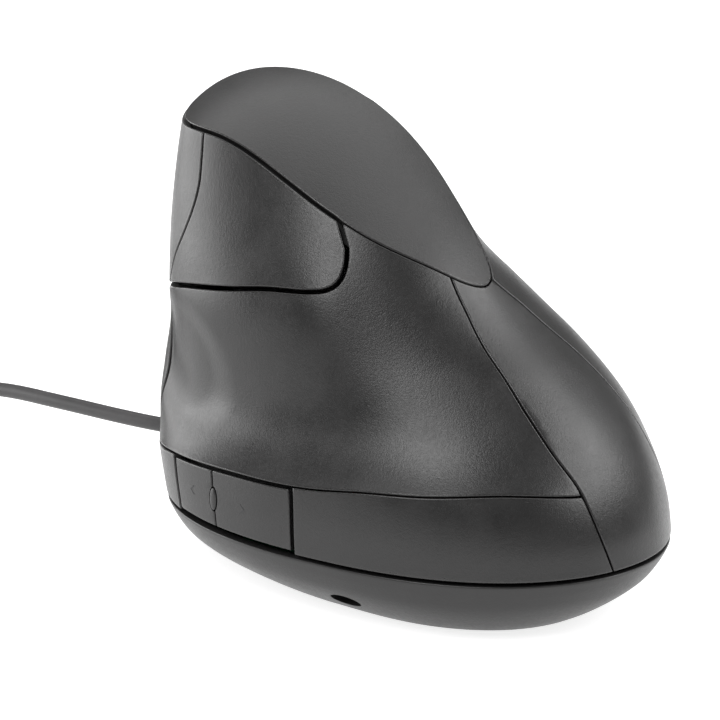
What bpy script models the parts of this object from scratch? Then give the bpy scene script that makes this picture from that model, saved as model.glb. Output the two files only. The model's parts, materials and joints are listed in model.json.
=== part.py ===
"""Vertical wired computer mouse for the right hand.

Curved shell panels stand over a bowl-shaped base: a leaf-shaped top cover, a side cheek, a dished thumb
rest with two thumb buttons below it, and on the other flank two finger buttons with a scroll wheel between
them. Inside are the boards, switches, wheel cradle and optics. The cord leaves the nose and ends in a USB
plug. Front (the cord) is +Y, the finger side is +X and the feet stand on Z = 0. Metres throughout; the
tables below are in millimetres and are scaled by MM.
"""
import math

import bmesh
import bpy
import numpy as np
from mathutils import Matrix, Vector
from mathutils.geometry import delaunay_2d_cdt

MM = 0.001
SHIFT_X = 2.87  # centres the footprint on X = 0
SHIFT_Y = -0.93

# The skin is a stack of rounded outlines. Angle 0 is the front, 90 the thumb side, 180 the rear and 270 the
# finger side. Each table is (height, reach of the outline in that direction from the Z axis).
FRONT = [(12, 48.3), (22, 50.2), (28, 51.0), (35, 50.3), (44, 48.9), (50, 49.2), (65, 49.5), (78, 48.7), (92, 46.5)]
REAR = [
    (12, 49.2), (18, 48.1), (24, 45.5), (29, 42), (34.5, 37), (42, 28.5), (48, 21), (55, 14), (60, 10.3),
    (66, 7), (74, 3), (92, -4),
]
LEFT = [(12, 38.2), (20, 38), (27, 37), (38, 33.5), (48, 29.5), (58, 25.5), (68, 21), (78, 16.5), (92, 10)]
RIGHT = [(12, 36), (22, 35.3), (32, 32), (42, 27.5), (52, 22.3), (62, 16), (72, 12.5), (92, 9)]
CENTRE_Y = [(12, 3), (25, 4), (40, 9), (57, 17), (68, 22), (80, 27), (92, 30)]
CENTRE_X = [(12, 0), (40, -1), (60, -2.5), (80, -3), (92, -3)]
SKEW = [(12, -7), (30, -6), (50, -3), (70, 0), (92, 0)]
FRONT_POWER = 2.5
REAR_POWER = 2.0
# The finger side's rear corner is fuller at mid height, by height.
RIGHT_POWER = [(12, 1.9), (25, 2.0), (34, 2.3), (45, 2.45), (52, 2.3), (58, 1.95), (66, 1.7), (76, 2.0), (92, 2.0)]
# The top cover's surface: height along the middle line and cross slope, by Y.
CAP_HEIGHT = [
    (-20, 49), (-12, 57), (-8.8, 60.2), (3.6, 70.4), (11.3, 75.8), (20, 80.3), (30, 83.3), (37, 83.9),
    (42.8, 83.3), (46, 82.5), (50, 81.0),
]
CAP_SLOPE = [(-20, -0.1), (-9, 0), (4, 0.12), (12, 0.2), (20, 0.24), (37, 0.24), (46, 0.28)]
CAP_CROWN = 0.016
CAP_LOW = 40.0
CAP_TOP = 92.0
# Seams on the skin, as (angle, height).
SEAM_Z = 12.4
CREASE = [
    (-10, 25), (10, 23.5), (26, 21.3), (50, 22.7), (73, 24), (88, 24.5), (103, 26), (117, 26.5), (137, 27),
    (158.5, 25.6),
]
CHEEK_LOWER = [
    (23, 48.6), (50, 51.7), (75, 54), (89, 55.4), (102, 56), (108, 56.5), (114, 58), (118, 60.5), (119.6, 63),
]
JAG = [(33, 49.75), (37, 52.4), (41, 55.2), (50, 60.5), (56, 65), (59.5, 69.5), (60, 74)]
REAR_LEFT = [
    (162.4, 12.4), (160, 18), (159, 22.5), (158.5, 27), (156.5, 32), (156, 38), (157, 43.5), (158, 48),
    (160, 52.5),
]
REAR_RIGHT = [(205, 12.4), (203, 24), (200, 33), (196, 42), (193, 46.5), (190, 51)]
THUMB_FRONT = [(24, 48.6), (26, 42), (27, 35), (27, 28), (27, 21.4)]
CHEEK_END = 118.0
CHEEK_TOP = 59.5
REAR_LEFT_TOP = 161.0
REAR_RIGHT_TOP = 184.0
BUTTON_ROOT = 255.0
BUTTON_FRONT = 322.0
THUMB_KEYS = (50.8, 67.4, 88.3)
BAND_TOP = 25.0
WHEEL_BAND = (40.0, 50.8)
# How far the thumb rest is hollowed, by angle, and the dish near its front edge.
HOLLOW = [(12, 0), (26, 0.8), (45, 2.8), (90, 4.2), (115, 3.8), (140, 2), (157, 0)]
HOLLOW_TOP = [(0, 48.6), (23, 48.6), (75, 54), (102, 56.5), (120, 62), (161, 57)]
DISH = (44.0, 38.2, 14.4, 12.3)  # angle, height and half sizes of the dish's rim
DISH_WALL = (1.12, 0.5)  # where its wall starts and how wide it is, as shares of the rim
DISH_DEPTH = 0.85
POOL = (36.0, 35.5, 6.5, 0.9)  # the deepest spot: angle, height, reach and depth

SHELL = 1.6
GAP = 0.3
WIDE_GAP = 0.8
KEY_GAP = 0.6
STEP = 4.2
# How an edge of a panel is cut: square to the skin, or mitred against the top cover or across the crease.
SQUARE = 0
AT_RIM = 1
AT_CREASE = 2
DEGREE = 0.6  # millimetres that one degree of the skin is taken as when it is meshed

# The base bowl: height and how much of the full inset is reached there.
BOWL = [(11.7, 0.0), (9.0, 0.1), (6.2, 0.26), (3.8, 0.5), (1.8, 0.78), (0.6, 1.0)]
BOWL_INSET = [
    (0, 12), (45, 13.3), (70, 12), (90, 9.8), (110, 8), (135, 8), (160, 10.5), (185, 14), (225, 12), (270, 9),
    (360, 12),
]
BOWL_WALL = 2.0
BOWL_SIDES = 72
FLOOR_TOP = 2.6

# The finger side's own frame: its middle on the skin, and the lean of the flank.
FLANK_POINT = (23.9, 27.4, 45.0)
FLANK_LEAN = 22.0
WHEEL_DEPTH = 8.0
# The thumb buttons' frame.
THUMB_POINT = (-36.3, 22.5, 18.0)
THUMB_NORMAL = (-0.945, 0.326, 0.0)

# Plunger tips of the button switches below the flank's and the thumb frame's zero, and the thumb switches' places.
INDEX_TIP = -3.6
MIDDLE_TIP = -3.6
THUMB_TIPS = (-2.1, -2.35)
THUMB_V = (7.0, -7.0)

BOARD_Z = (8.0, 9.6)
BOARD_POSTS = ((-27, -14), (0, -20), (1.5, 29.2))
CASE_SCREWS = ((14.5, 13), (14.5, 26))
FEET = {
    "foot_front": (-1, 30.5, 13, 4),
    "foot_rear": (-9.5, -29.6, 10, 3.8),
    "foot_left": (-22.6, -4, 3.6, 10.5),
    "foot_right": (17.8, -3, 3.6, 10.3),
}
LENS_HOLE = (-9.0, 0.0)

CORD_R = 1.4
CORD_ROUTE = [
    (0, 57.3, 14.9), (0.3, 63, 14.8), (1.0, 70, 14.6), (2.9, 84.5, 14.2), (5.7, 101, 13.1), (7.5, 116, 10.2),
    (8.0, 128, 7.2), (7.7, 139, 4.4), (7.1, 149, 2.6), (6.6, 157, 1.9), (6.5, 164, 1.8),
]
COIL_CENTRE = (34.0, 166.0)
COIL_R = 16.8
COIL_HALF = (8.6, 4.8)
PLUG_AT = (34.0, 166.0, 9.95)
PLUG_TURN = 30.0


def curve(points, x):
    """A smooth curve through a table's points."""
    xs = np.array([p[0] for p in points], float)
    ys = np.array([p[1] for p in points], float)
    h = np.diff(xs)
    d = np.diff(ys) / h
    m = np.empty_like(ys)
    m[0], m[-1] = d[0], d[-1]
    m[1:-1] = (d[:-1] * h[1:] + d[1:] * h[:-1]) / (h[:-1] + h[1:])
    x = np.clip(np.asarray(x, float), xs[0], xs[-1])
    i = np.clip(np.searchsorted(xs, x) - 1, 0, len(xs) - 2)
    t = (x - xs[i]) / h[i]
    rise = (2 * t**3 - 3 * t**2 + 1) * ys[i] + (3 * t**2 - 2 * t**3) * ys[i + 1]
    return rise + (t**3 - 2 * t**2 + t) * h[i] * m[i] + (t**3 - t**2) * h[i] * m[i + 1]


def outline_point(angle, z):
    """X and Y of the plain skin at an angle in degrees and a height."""
    p = np.radians(angle)
    c, s = np.cos(p), np.sin(p)
    cy, cx = curve(CENTRE_Y, z), curve(CENTRE_X, z)
    a = np.where(c >= 0, curve(FRONT, z) - cy, curve(REAR, z) + cy)
    b = np.where(s >= 0, curve(LEFT, z) + cx, curve(RIGHT, z) - cx)
    front = 0.5 + 0.5 * c
    rear = np.where(s >= 0, REAR_POWER, curve(RIGHT_POWER, z))
    power = 2 / (FRONT_POWER * front + rear * (1 - front))
    x = cx - np.sign(s) * b * np.abs(s) ** power + curve(SKEW, z) * (1 - front) ** 2
    return x, cy + np.sign(c) * a * np.abs(c) ** power


def plain(uv):
    x, y = outline_point(uv[:, 0], uv[:, 1])
    return np.stack([x, y, uv[:, 1]], 1)


def normals(surface, uv):
    """Outward unit normals of a surface that is given as a function of two numbers."""
    du, dv = np.array([0.25, 0.0]), np.array([0.0, 0.25])
    n = np.cross(surface(uv + du) - surface(uv - du), surface(uv + dv) - surface(uv - dv))
    return n / np.linalg.norm(n, axis=1)[:, None]


def hollow(uv):
    """How far the thumb rest lies inside the plain skin."""
    angle, z = uv[:, 0] % 360, uv[:, 1]
    low, high = curve(CREASE, angle), curve(HOLLOW_TOP, angle)
    s = np.clip((z - low) / (high - low), 0, 1)
    broad = curve(HOLLOW, angle) * 6.75 * s * (1 - s) ** 2
    rim_share = np.hypot((angle - DISH[0]) * DEGREE / DISH[2], (z - DISH[1]) / DISH[3])
    wall = np.clip((DISH_WALL[0] - rim_share) / DISH_WALL[1], 0, 1)
    away = ((angle - POOL[0]) * DEGREE) ** 2 + (z - POOL[1]) ** 2
    dish = DISH_DEPTH * wall * wall * (3 - 2 * wall) + POOL[3] * np.exp(-away / POOL[2] ** 2)
    fade = np.clip((angle - 21) / 8, 0, 1) * (angle < 200) * np.sin(math.pi * s) ** 0.3
    return broad + dish * fade


def skin(uv):
    uv = np.asarray(uv, float)
    return plain(uv) - normals(plain, uv) * hollow(uv)[:, None]


def cap(uv):
    """The top cover's surface over X and Y."""
    uv = np.asarray(uv, float)
    x, y = uv[:, 0], uv[:, 1]
    z = curve(CAP_HEIGHT, y) + curve(CAP_SLOPE, y) * x - CAP_CROWN / 2 * x * x
    return np.stack([x, y, z], 1)


def rim(angle):
    """The height at which the skin meets the top cover's surface."""
    angle = np.asarray(angle, float)
    low, high = np.full(angle.shape, CAP_LOW), np.full(angle.shape, CAP_TOP)
    for _ in range(30):
        middle = (low + high) / 2
        x, y = outline_point(angle, middle)
        above = middle > cap(np.stack([x, y], 1))[:, 2]
        high, low = np.where(above, middle, high), np.where(above, low, middle)
    return (low + high) / 2


def rim_edge(start, stop):
    angles = np.linspace(start, stop, max(3, int(abs(stop - start) / 3)))
    return [(a, z) for a, z in zip(angles, rim(angles))]


def meet(points, angle):
    """A seam that runs on to the rim at the given angle."""
    return points + [(angle, float(rim(np.array([angle]))[0]))]


def part_of(points, start, stop, count=12):
    """The piece of a seam between two angles."""
    angles = np.linspace(start, stop, count)
    return [(a, float(curve(points, a))) for a in angles]


def smooth(points, count=24):
    """The same seam with more points, by distance along it."""
    p = np.array(points, float)
    along = np.concatenate([[0], np.cumsum(np.hypot(np.diff(p[:, 0]) * DEGREE, np.diff(p[:, 1])))])
    t = np.linspace(0, along[-1], count)
    return [(float(curve(list(zip(along, p[:, 0])), a)), float(curve(list(zip(along, p[:, 1])), a))) for a in t]


def resampled(surface, points, step):
    """Points of an edge about a step apart on the surface."""
    p = np.array(points, float)
    at = surface(p)
    along = np.concatenate([[0], np.cumsum(np.linalg.norm(np.diff(at, axis=0), axis=1))])
    t = np.linspace(0, along[-1], max(2, int(round(along[-1] / step)) + 1))
    return np.stack([np.interp(t, along, p[:, k]) for k in (0, 1)], 1)


def ring_of(surface, edges, step):
    """The closed outline that edges make, with each point's gap on either side and whether it is mitred."""
    ring, gaps, mitre = [], [], []
    for points, gap, mitred in edges:
        for q in resampled(surface, points, step)[:-1]:
            ring.append(q)
            gaps.append(gap)
            mitre.append(mitred)
    ring, gaps, mitre = np.array(ring), np.array(gaps), np.array(mitre, int)
    before = np.roll(gaps, 1)
    mitre = np.maximum(mitre, np.roll(mitre, 1))
    x, y = ring[:, 0], ring[:, 1]
    if np.sum(x * np.roll(y, -1) - np.roll(x, -1) * y) < 0:
        ring, gaps, before, mitre = ring[::-1], before[::-1], gaps[::-1], mitre[::-1]
    return ring, before, gaps, mitre


def moved_in(surface, ring, before, after):
    """The outline moved inwards by its gaps, measured on the surface."""
    at, n = surface(ring), normals(surface, ring)
    to_next = np.roll(at, -1, axis=0) - at
    to_next /= np.linalg.norm(to_next, axis=1)[:, None]
    into_1, into_2 = np.cross(n, np.roll(to_next, 1, axis=0)), np.cross(n, to_next)
    out = []
    for k in range(len(ring)):
        if into_1[k] @ into_2[k] > 0.95:
            push = (into_1[k] + into_2[k]) / 2 * (before[k] + after[k]) / 2
        else:
            rows = np.array([into_1[k], into_2[k], n[k]])
            push = np.linalg.solve(rows, [before[k], after[k], 0.0])
        e = 0.2
        du = (surface(ring[k : k + 1] + [e, 0]) - surface(ring[k : k + 1] - [e, 0]))[0] / (2 * e)
        dv = (surface(ring[k : k + 1] + [0, e]) - surface(ring[k : k + 1] - [0, e]))[0] / (2 * e)
        out.append(ring[k] + np.linalg.lstsq(np.stack([du, dv], 1), push, rcond=None)[0])
    return np.array(out)


def inside(ring, points):
    """Which points lie inside an outline."""
    hit = np.zeros(len(points), bool)
    for (x1, y1), (x2, y2) in zip(ring, np.roll(ring, -1, axis=0)):
        crosses = (y1 > points[:, 1]) != (y2 > points[:, 1])
        hit ^= crosses & (points[:, 0] < (x2 - x1) * (points[:, 1] - y1) / (y2 - y1 + 1e-12) + x1)
    return hit


def filled(ring, step):
    """Points and triangles that fill an outline; the outline's points come first."""
    low, high = ring.min(axis=0), ring.max(axis=0)
    rows = np.arange(low[1] + step / 2, high[1], step * 0.87)
    grid = [(x, y) for k, y in enumerate(rows) for x in np.arange(low[0] + step * (k % 2) / 2, high[0], step)]
    grid = np.array(grid or [(0.0, 0.0)])
    near = np.min(np.linalg.norm(grid[:, None] - ring[None], axis=2), axis=1)
    grid = grid[inside(ring, grid) & (near > 0.62 * step)]
    points = np.concatenate([ring, grid])
    edges = [(k, (k + 1) % len(ring)) for k in range(len(ring))]
    got = delaunay_2d_cdt([Vector(p) for p in points], edges, [], 1, 1e-7)
    flat = np.array([tuple(v) for v in got[0]])
    middles = np.array([flat[list(f)].mean(axis=0) for f in got[2]])
    return flat, [f for f, keep in zip(got[2], inside(ring, middles)) if keep]


def panel_mesh(surface, other, edges, step, scale, thick):
    """A curved shell: its outline, moved in by its gaps, filled and given a thickness inwards."""
    ring, before, after, mitre = ring_of(surface, edges, step)
    ring = moved_in(surface, ring, before, after)
    count = len(ring)
    uv, faces = filled(ring * [scale, 1], step)
    uv = uv / [scale, 1]
    at, n = surface(uv), normals(surface, uv)
    lean = np.zeros((count, 3))
    for kind, m in ((AT_RIM, other(ring, at[:count])), (AT_CREASE, crease_normal(ring, n[:count]))):
        both = (n[:count] + m) / (1 + np.sum(n[:count] * m, axis=1))[:, None]
        lean[mitre == kind] = thick * (n[:count] - both)[mitre == kind]
    gap = np.linalg.norm(at[:, None] - at[None, :count], axis=2)
    nearest = gap.argmin(axis=1)
    weight = np.clip(1 - gap.min(axis=1) / (6 * thick), 0, 1)
    inner = at - thick * n + lean[nearest] * weight[:, None]
    low = len(at)
    tris = [tuple(f) for f in faces] + [tuple(low + i for i in reversed(f)) for f in faces]
    sides = [((k + 1) % count, k, low + k, low + (k + 1) % count) for k in range(count)]
    return np.concatenate([at, inner]), tris + sides


def crease_normal(uv, own):
    """The skin's normal on the far side of the crease along the thumb rest's foot."""
    above, below = normals(skin, uv + [0, 1.0]), normals(skin, uv - [0, 1.0])
    nearer = np.sum(above * own, axis=1) > np.sum(below * own, axis=1)
    return np.where(nearer[:, None], below, above)


def cap_normal(uv, at):
    return normals(cap, at[:, :2])


def skin_normal(uv, at):
    """The skin's normal below points of the top cover's edge."""
    angles = np.arange(0, 360, 1.0)
    x, y = outline_point(angles, rim(angles))
    flat = np.stack([x, y], 1)
    nearest = np.linalg.norm(flat[None] - at[:, None, :2], axis=2).argmin(axis=1)
    angle = angles[nearest]
    return normals(skin, np.stack([angle, rim(angle)], 1))


def clear_scene():
    for o in list(bpy.data.objects):
        bpy.data.objects.remove(o, do_unlink=True)
    for c in list(bpy.data.collections):
        bpy.data.collections.remove(c)


def collection(name):
    made = bpy.data.collections.new(name)
    bpy.context.scene.collection.children.link(made)
    return made


def finish_piece(name, mesh, frame, look):
    """An object in the mouse's collection with its own material."""
    o = bpy.data.objects.new(name, mesh)
    o.matrix_world = frame
    PARTS.objects.link(o)
    material = bpy.data.materials.new(name + "_material")
    material.use_nodes = True
    shader = material.node_tree.nodes["Principled BSDF"]
    colour, rough, metal = LOOKS[look]
    shader.inputs["Base Color"].default_value = (*colour, 1)
    shader.inputs["Roughness"].default_value = rough
    shader.inputs["Metallic"].default_value = metal
    mesh.materials.clear()
    mesh.materials.append(material)
    return o


def as_cutter(name, mesh, frame):
    o = bpy.data.objects.new(name, mesh)
    o.matrix_world = frame
    o.hide_render = True
    o.display_type = "WIRE"
    CUTTERS.objects.link(o)
    return o


def mesh_of(name, points, faces):
    """A closed mesh from points in millimetres."""
    mesh = bpy.data.meshes.new(name)
    mesh.from_pydata([tuple(float(v) * MM for v in p) for p in points], [], faces)
    work = bmesh.new()
    work.from_mesh(mesh)
    bmesh.ops.recalc_face_normals(work, faces=work.faces)
    work.to_mesh(mesh)
    work.free()
    return mesh


def joined(name, meshes):
    """Several separate closed meshes as one."""
    work = bmesh.new()
    for m in meshes:
        work.from_mesh(m)
    mesh = bpy.data.meshes.new(name)
    work.to_mesh(mesh)
    work.free()
    return mesh


def boolean(o, cutter, operation="DIFFERENCE"):
    step = o.modifiers.new(operation.lower(), "BOOLEAN")
    step.operation = operation
    step.solver = "EXACT"
    step.object = cutter


def bevel(o, width, segments=1):
    step = o.modifiers.new("bevel", "BEVEL")
    step.width = width * MM
    step.segments = segments
    step.limit_method = "ANGLE"
    step.angle_limit = math.radians(40)


def prism_mesh(name, outline, low, high):
    """A polygon in the frame's XY plane, drawn up along Z."""
    count = len(outline)
    points = [(x, y, z) for z in (low, high) for x, y in outline]
    faces = [tuple(range(count))[::-1], tuple(range(count, 2 * count))]
    faces += [(k, (k + 1) % count, count + (k + 1) % count, count + k) for k in range(count)]
    return mesh_of(name, points, faces)


def box_mesh(name, low, high):
    corners = [(low[0], low[1]), (high[0], low[1]), (high[0], high[1]), (low[0], high[1])]
    return prism_mesh(name, corners, low[2], high[2])


def round_outline(x, y, rx, ry, count=24):
    turns = [2 * math.pi * k / count for k in range(count)]
    return [(x + rx * math.cos(t), y + ry * math.sin(t)) for t in turns]


def turned_mesh(name, profile, x=0.0, y=0.0, count=24):
    """A profile of (radius, height) turned round a line along Z; it starts and ends on the line."""
    inner = profile[1:-1]
    points = [(x, y, profile[0][1])]
    for r, z in inner:
        points += [(px, py, z) for px, py in round_outline(x, y, r, r, count)]
    points.append((x, y, profile[-1][1]))
    faces = [(0, 1 + (k + 1) % count, 1 + k) for k in range(count)]
    for ring in range(len(inner) - 1):
        a, b = 1 + ring * count, 1 + (ring + 1) * count
        faces += [(a + k, a + (k + 1) % count, b + (k + 1) % count, b + k) for k in range(count)]
    last = 1 + (len(inner) - 1) * count
    faces += [(last + k, last + (k + 1) % count, len(points) - 1) for k in range(count)]
    return mesh_of(name, points, faces)


def rod_mesh(name, x, y, r, low, high, count=20):
    return turned_mesh(name, [(0, low), (r, low), (r, high), (0, high)], x, y, count)


def ring_mesh(name, profile, count=36):
    """A closed profile of (radius, height) turned round Z, for a piece with a hole through it."""
    size = len(profile)
    points = []
    for k in range(count):
        t = 2 * math.pi * k / count
        points += [(r * math.cos(t), r * math.sin(t), z) for r, z in profile]
    faces = []
    for k in range(count):
        a, b = k * size, (k + 1) % count * size
        faces += [(a + i, b + i, b + (i + 1) % size, a + (i + 1) % size) for i in range(size)]
    return mesh_of(name, points, faces)


def frame_at(origin, x_axis, y_axis, z_axis):
    """A frame from an origin in millimetres and three axes."""
    m = Matrix((x_axis, y_axis, z_axis)).transposed().to_4x4()
    m.translation = Vector(origin) * MM
    return m


def flank_frames():
    """The finger side's frames: Z outwards for boards and switches, Z up the flank for the wheel."""
    lean = math.radians(FLANK_LEAN)
    out = Vector((math.cos(lean), 0, math.sin(lean)))
    up = Vector((-math.sin(lean), 0, math.cos(lean)))
    ahead = Vector((0, 1, 0))
    origin = Vector(FLANK_POINT)
    return frame_at(origin, ahead, up, out), frame_at(origin - out * WHEEL_DEPTH, out, ahead, up)


def thumb_frame():
    out = Vector(THUMB_NORMAL).normalized()
    return frame_at(THUMB_POINT, Vector((-out.y, out.x, 0)) * -1, Vector((0, 0, 1)), out)


def panel(name, edges, look, surface=skin, other=cap_normal, scale=DEGREE):
    points, faces = panel_mesh(surface, other, edges, STEP, scale, SHELL)
    return finish_piece(name, mesh_of(name, points, faces), Matrix(), look)


def thumb_side_panels():
    half, wide = GAP / 2, WIDE_GAP / 2
    jag = meet(smooth(JAG), CHEEK_TOP)
    cheek_end = meet(smooth(CHEEK_LOWER), CHEEK_END)
    cheek_lower = [JAG[0]] + [p for p in cheek_end if p[0] > JAG[0][0] + 1]
    panel(
        "side_cheek",
        [
            (cheek_lower, wide, SQUARE),
            (rim_edge(CHEEK_END, CHEEK_TOP), wide, AT_RIM),
            (jag[::-1], half, SQUARE),
        ],
        "shell",
    )
    rear_left = meet(smooth(REAR_LEFT), REAR_LEFT_TOP)
    upper = [p for p in rear_left if p[1] > 25.6]
    panel(
        "thumb_rest",
        [
            (smooth(THUMB_FRONT), wide, SQUARE),
            (part_of(CREASE, 27, 158.5, 30), half, AT_CREASE),
            ([(158.5, 25.6)] + upper, half, SQUARE),
            (rim_edge(REAR_LEFT_TOP, CHEEK_END), half, AT_RIM),
            (cheek_end[::-1], wide, SQUARE),
            ([(23, 48.6), (24, 48.6)], wide, SQUARE),
        ],
        "shell",
    )
    lower = [p for p in rear_left if p[1] < 25.6]
    panel(
        "left_skirt",
        [
            ([(THUMB_KEYS[2], 24.5), (THUMB_KEYS[2], SEAM_Z)], wide, SQUARE),
            ([(THUMB_KEYS[2], SEAM_Z), (162.4, SEAM_Z)], 0, SQUARE),
            (lower + [(158.5, 25.6)], half, SQUARE),
            (part_of(CREASE, 158.5, THUMB_KEYS[2], 20), half, AT_CREASE),
        ],
        "shell",
    )


def thumb_buttons():
    names = ("thumb_button_front", "thumb_button_rear")
    for name, start, stop in zip(names, THUMB_KEYS[:2], THUMB_KEYS[1:]):
        left = WIDE_GAP / 2 if start == THUMB_KEYS[0] else GAP / 2
        right = WIDE_GAP / 2 if stop == THUMB_KEYS[2] else GAP / 2
        top = part_of(CREASE, stop, start, 6)
        edges = [
            ([(start, top[-1][1]), (start, SEAM_Z)], left, SQUARE),
            ([(start, SEAM_Z), (stop, SEAM_Z)], KEY_GAP, SQUARE),
            ([(stop, SEAM_Z), top[0]], right, SQUARE),
            (top, KEY_GAP, AT_CREASE),
        ]
        key = panel(name, edges, "key")
        boolean(key, marker_tool("marker_room_" + name, 0.3))
    marker = finish_piece("thumb_marker", marker_mesh("thumb_marker", 0, 1.3), marker_frame(), "key")
    bevel(marker, 0.25)


def marker_frame():
    """Between the two thumb buttons, facing outwards."""
    uv = np.array([[THUMB_KEYS[1], 18.0]])
    out = Vector(normals(skin, uv)[0])
    across = Vector((0, 0, 1)).cross(out).normalized()
    return frame_at(skin(uv)[0], across, out.cross(across), out)


def marker_mesh(name, extra, depth):
    return prism_mesh(name, round_outline(0, 0, 0.9 + extra, 2.1 + extra, 20), -depth, 0.25 + extra)


def marker_tool(name, extra):
    return as_cutter(name, marker_mesh(name, extra, 4), marker_frame())


def finger_side_panels():
    half, wide = GAP / 2, WIDE_GAP / 2
    root, front = BUTTON_ROOT, BUTTON_FRONT
    rear_right = meet(smooth(REAR_RIGHT), REAR_RIGHT_TOP)
    wrap = [(p[0] + 360, p[1]) for p in smooth(THUMB_FRONT)]
    crease = [(a + 360, z) for a, z in part_of(CREASE, THUMB_KEYS[0], 27, 8)]
    shell = panel(
        "finger_side_shell",
        [
            (rear_right[::-1], half, SQUARE),
            ([(205, SEAM_Z), (360 + THUMB_KEYS[0], SEAM_Z)], 0, SQUARE),
            ([(360 + THUMB_KEYS[0], SEAM_Z), crease[0]], wide, SQUARE),
            (crease, half, AT_CREASE),
            (wrap[::-1], half, SQUARE),
            ([(384, 48.6), (360, 49.2), (front, 49.6)], half, SQUARE),
            ([(front, 49.6), (front, BAND_TOP)], wide / 2, SQUARE),
            ([(front, BAND_TOP), (root, BAND_TOP)], half, SQUARE),
            ([(root, BAND_TOP), (root, float(rim(np.array([root]))[0]))], half, SQUARE),
            (rim_edge(root, REAR_RIGHT_TOP), half, AT_RIM),
        ],
        "shell",
    )
    cord_way = rod_mesh("cord_way", 0, 0, 2.75, -7, 7)
    boolean(shell, as_cutter("cord_way", cord_way, nose_frame()))
    jag = [(a + 360, z) for a, z in meet(smooth(JAG), CHEEK_TOP)]
    panel(
        "nose_strip",
        [
            ([(front, 49.6), (360, 49.2), (383, 48.6)], half, SQUARE),
            ([(383, 48.6), jag[0]], wide, SQUARE),
            (jag, half, SQUARE),
            (rim_edge(360 + CHEEK_TOP, front), wide, AT_RIM),
            ([(front, float(rim(np.array([front]))[0])), (front, 49.6)], half, SQUARE),
        ],
        "shell",
    )


def nose_frame():
    """The cord's way out: Z forwards through the front of the shell."""
    return frame_at((0, 48.4, 15), Vector((1, 0, 0)), Vector((0, 0, -1)), Vector((0, 1, 0)))


def finger_buttons():
    root, front = BUTTON_ROOT, BUTTON_FRONT
    low, high = WHEEL_BAND
    top = float(rim(np.array([root]))[0])
    end = float(rim(np.array([front]))[0])
    half, play = GAP / 2, KEY_GAP / 2
    panel(
        "index_button",
        [
            ([(root, high), (front, high)], play, SQUARE),
            ([(front, high), (front, end)], KEY_GAP, SQUARE),
            (rim_edge(front, root), 0.6, AT_RIM),
            ([(root, top), (root, high)], GAP, SQUARE),
        ],
        "key",
    )
    band = panel(
        "wheel_surround",
        [
            ([(root, low), (front, low)], half, SQUARE),
            ([(front, low), (front, high)], half, SQUARE),
            ([(front, high), (root, high)], half, SQUARE),
            ([(root, high), (root, low)], half, SQUARE),
        ],
        "shell",
    )
    slot = box_mesh("wheel_slot", (-9, -9.6, -3.3), (14, 12.2, 3.3))
    boolean(band, as_cutter("wheel_slot", slot, flank_frames()[1]))
    panel(
        "middle_button",
        [
            ([(root, BAND_TOP), (front, BAND_TOP)], play, SQUARE),
            ([(front, BAND_TOP), (front, low)], KEY_GAP, SQUARE),
            ([(front, low), (root, low)], play, SQUARE),
            ([(root, low), (root, BAND_TOP)], half, SQUARE),
        ],
        "key",
    )


def covers():
    half, wide = GAP / 2, WIDE_GAP / 2
    rear_left = meet(smooth(REAR_LEFT), REAR_LEFT_TOP)
    rear_right = meet(smooth(REAR_RIGHT), REAR_RIGHT_TOP)
    panel(
        "rear_cover",
        [
            (rear_left[::-1], half, SQUARE),
            ([(162.4, SEAM_Z), (205, SEAM_Z)], 0, SQUARE),
            (rear_right, half, SQUARE),
            (rim_edge(REAR_RIGHT_TOP, REAR_LEFT_TOP), half, AT_RIM),
        ],
        "shell",
    )
    spans = ((0, 118, wide), (118, 255, half), (255, 360, wide))
    edges = []
    for start, stop, gap in spans:
        angles = np.linspace(start, stop, 60)
        x, y = outline_point(angles, rim(angles))
        edges.append((np.stack([x, y], 1), gap, AT_RIM))
    panel("top_cover", edges, "shell", cap, skin_normal, 1.0)


def bowl_ring(angles, z, share, extra):
    """One ring of the base bowl."""
    x, y = outline_point(angles, np.full(len(angles), 12.0))
    out = normals(plain, np.stack([angles, np.full(len(angles), 14.0)], 1))[:, :2]
    out /= np.linalg.norm(out, axis=1)[:, None]
    inset = curve(BOWL_INSET, angles % 360) * share + extra
    return [(px - n[0] * i, py - n[1] * i, z) for px, py, n, i in zip(x, y, out, inset)]


def bowl_mesh():
    angles = np.arange(BOWL_SIDES) * 360.0 / BOWL_SIDES
    rings = [bowl_ring(angles, z, share, 0.0) for z, share in reversed(BOWL)]
    inner = [(11.7, 0.0), (9.0, 0.1), (6.2, 0.26), (4.2, 0.46), (FLOOR_TOP, 0.72)]
    rings += [bowl_ring(angles, z, share, BOWL_WALL) for z, share in inner]
    points = [p for ring in rings for p in ring]
    size = BOWL_SIDES
    faces = [tuple(range(size))]
    for k in range(len(rings) - 1):
        a, b = k * size, (k + 1) * size
        faces += [(a + i, a + (i + 1) % size, b + (i + 1) % size, b + i) for i in range(size)]
    faces.append(tuple(range((len(rings) - 1) * size, len(rings) * size)))
    return mesh_of("base", points, faces)


def dpi_frame():
    """The sensitivity slider's opening, low on the thumb side; Z points out of it."""
    out = Vector((-0.84, 0, -0.54)).normalized()
    ahead = Vector((0, 1, 0))
    return frame_at((-35.4, -3.5, 4.6), ahead, out.cross(ahead), out)


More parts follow.
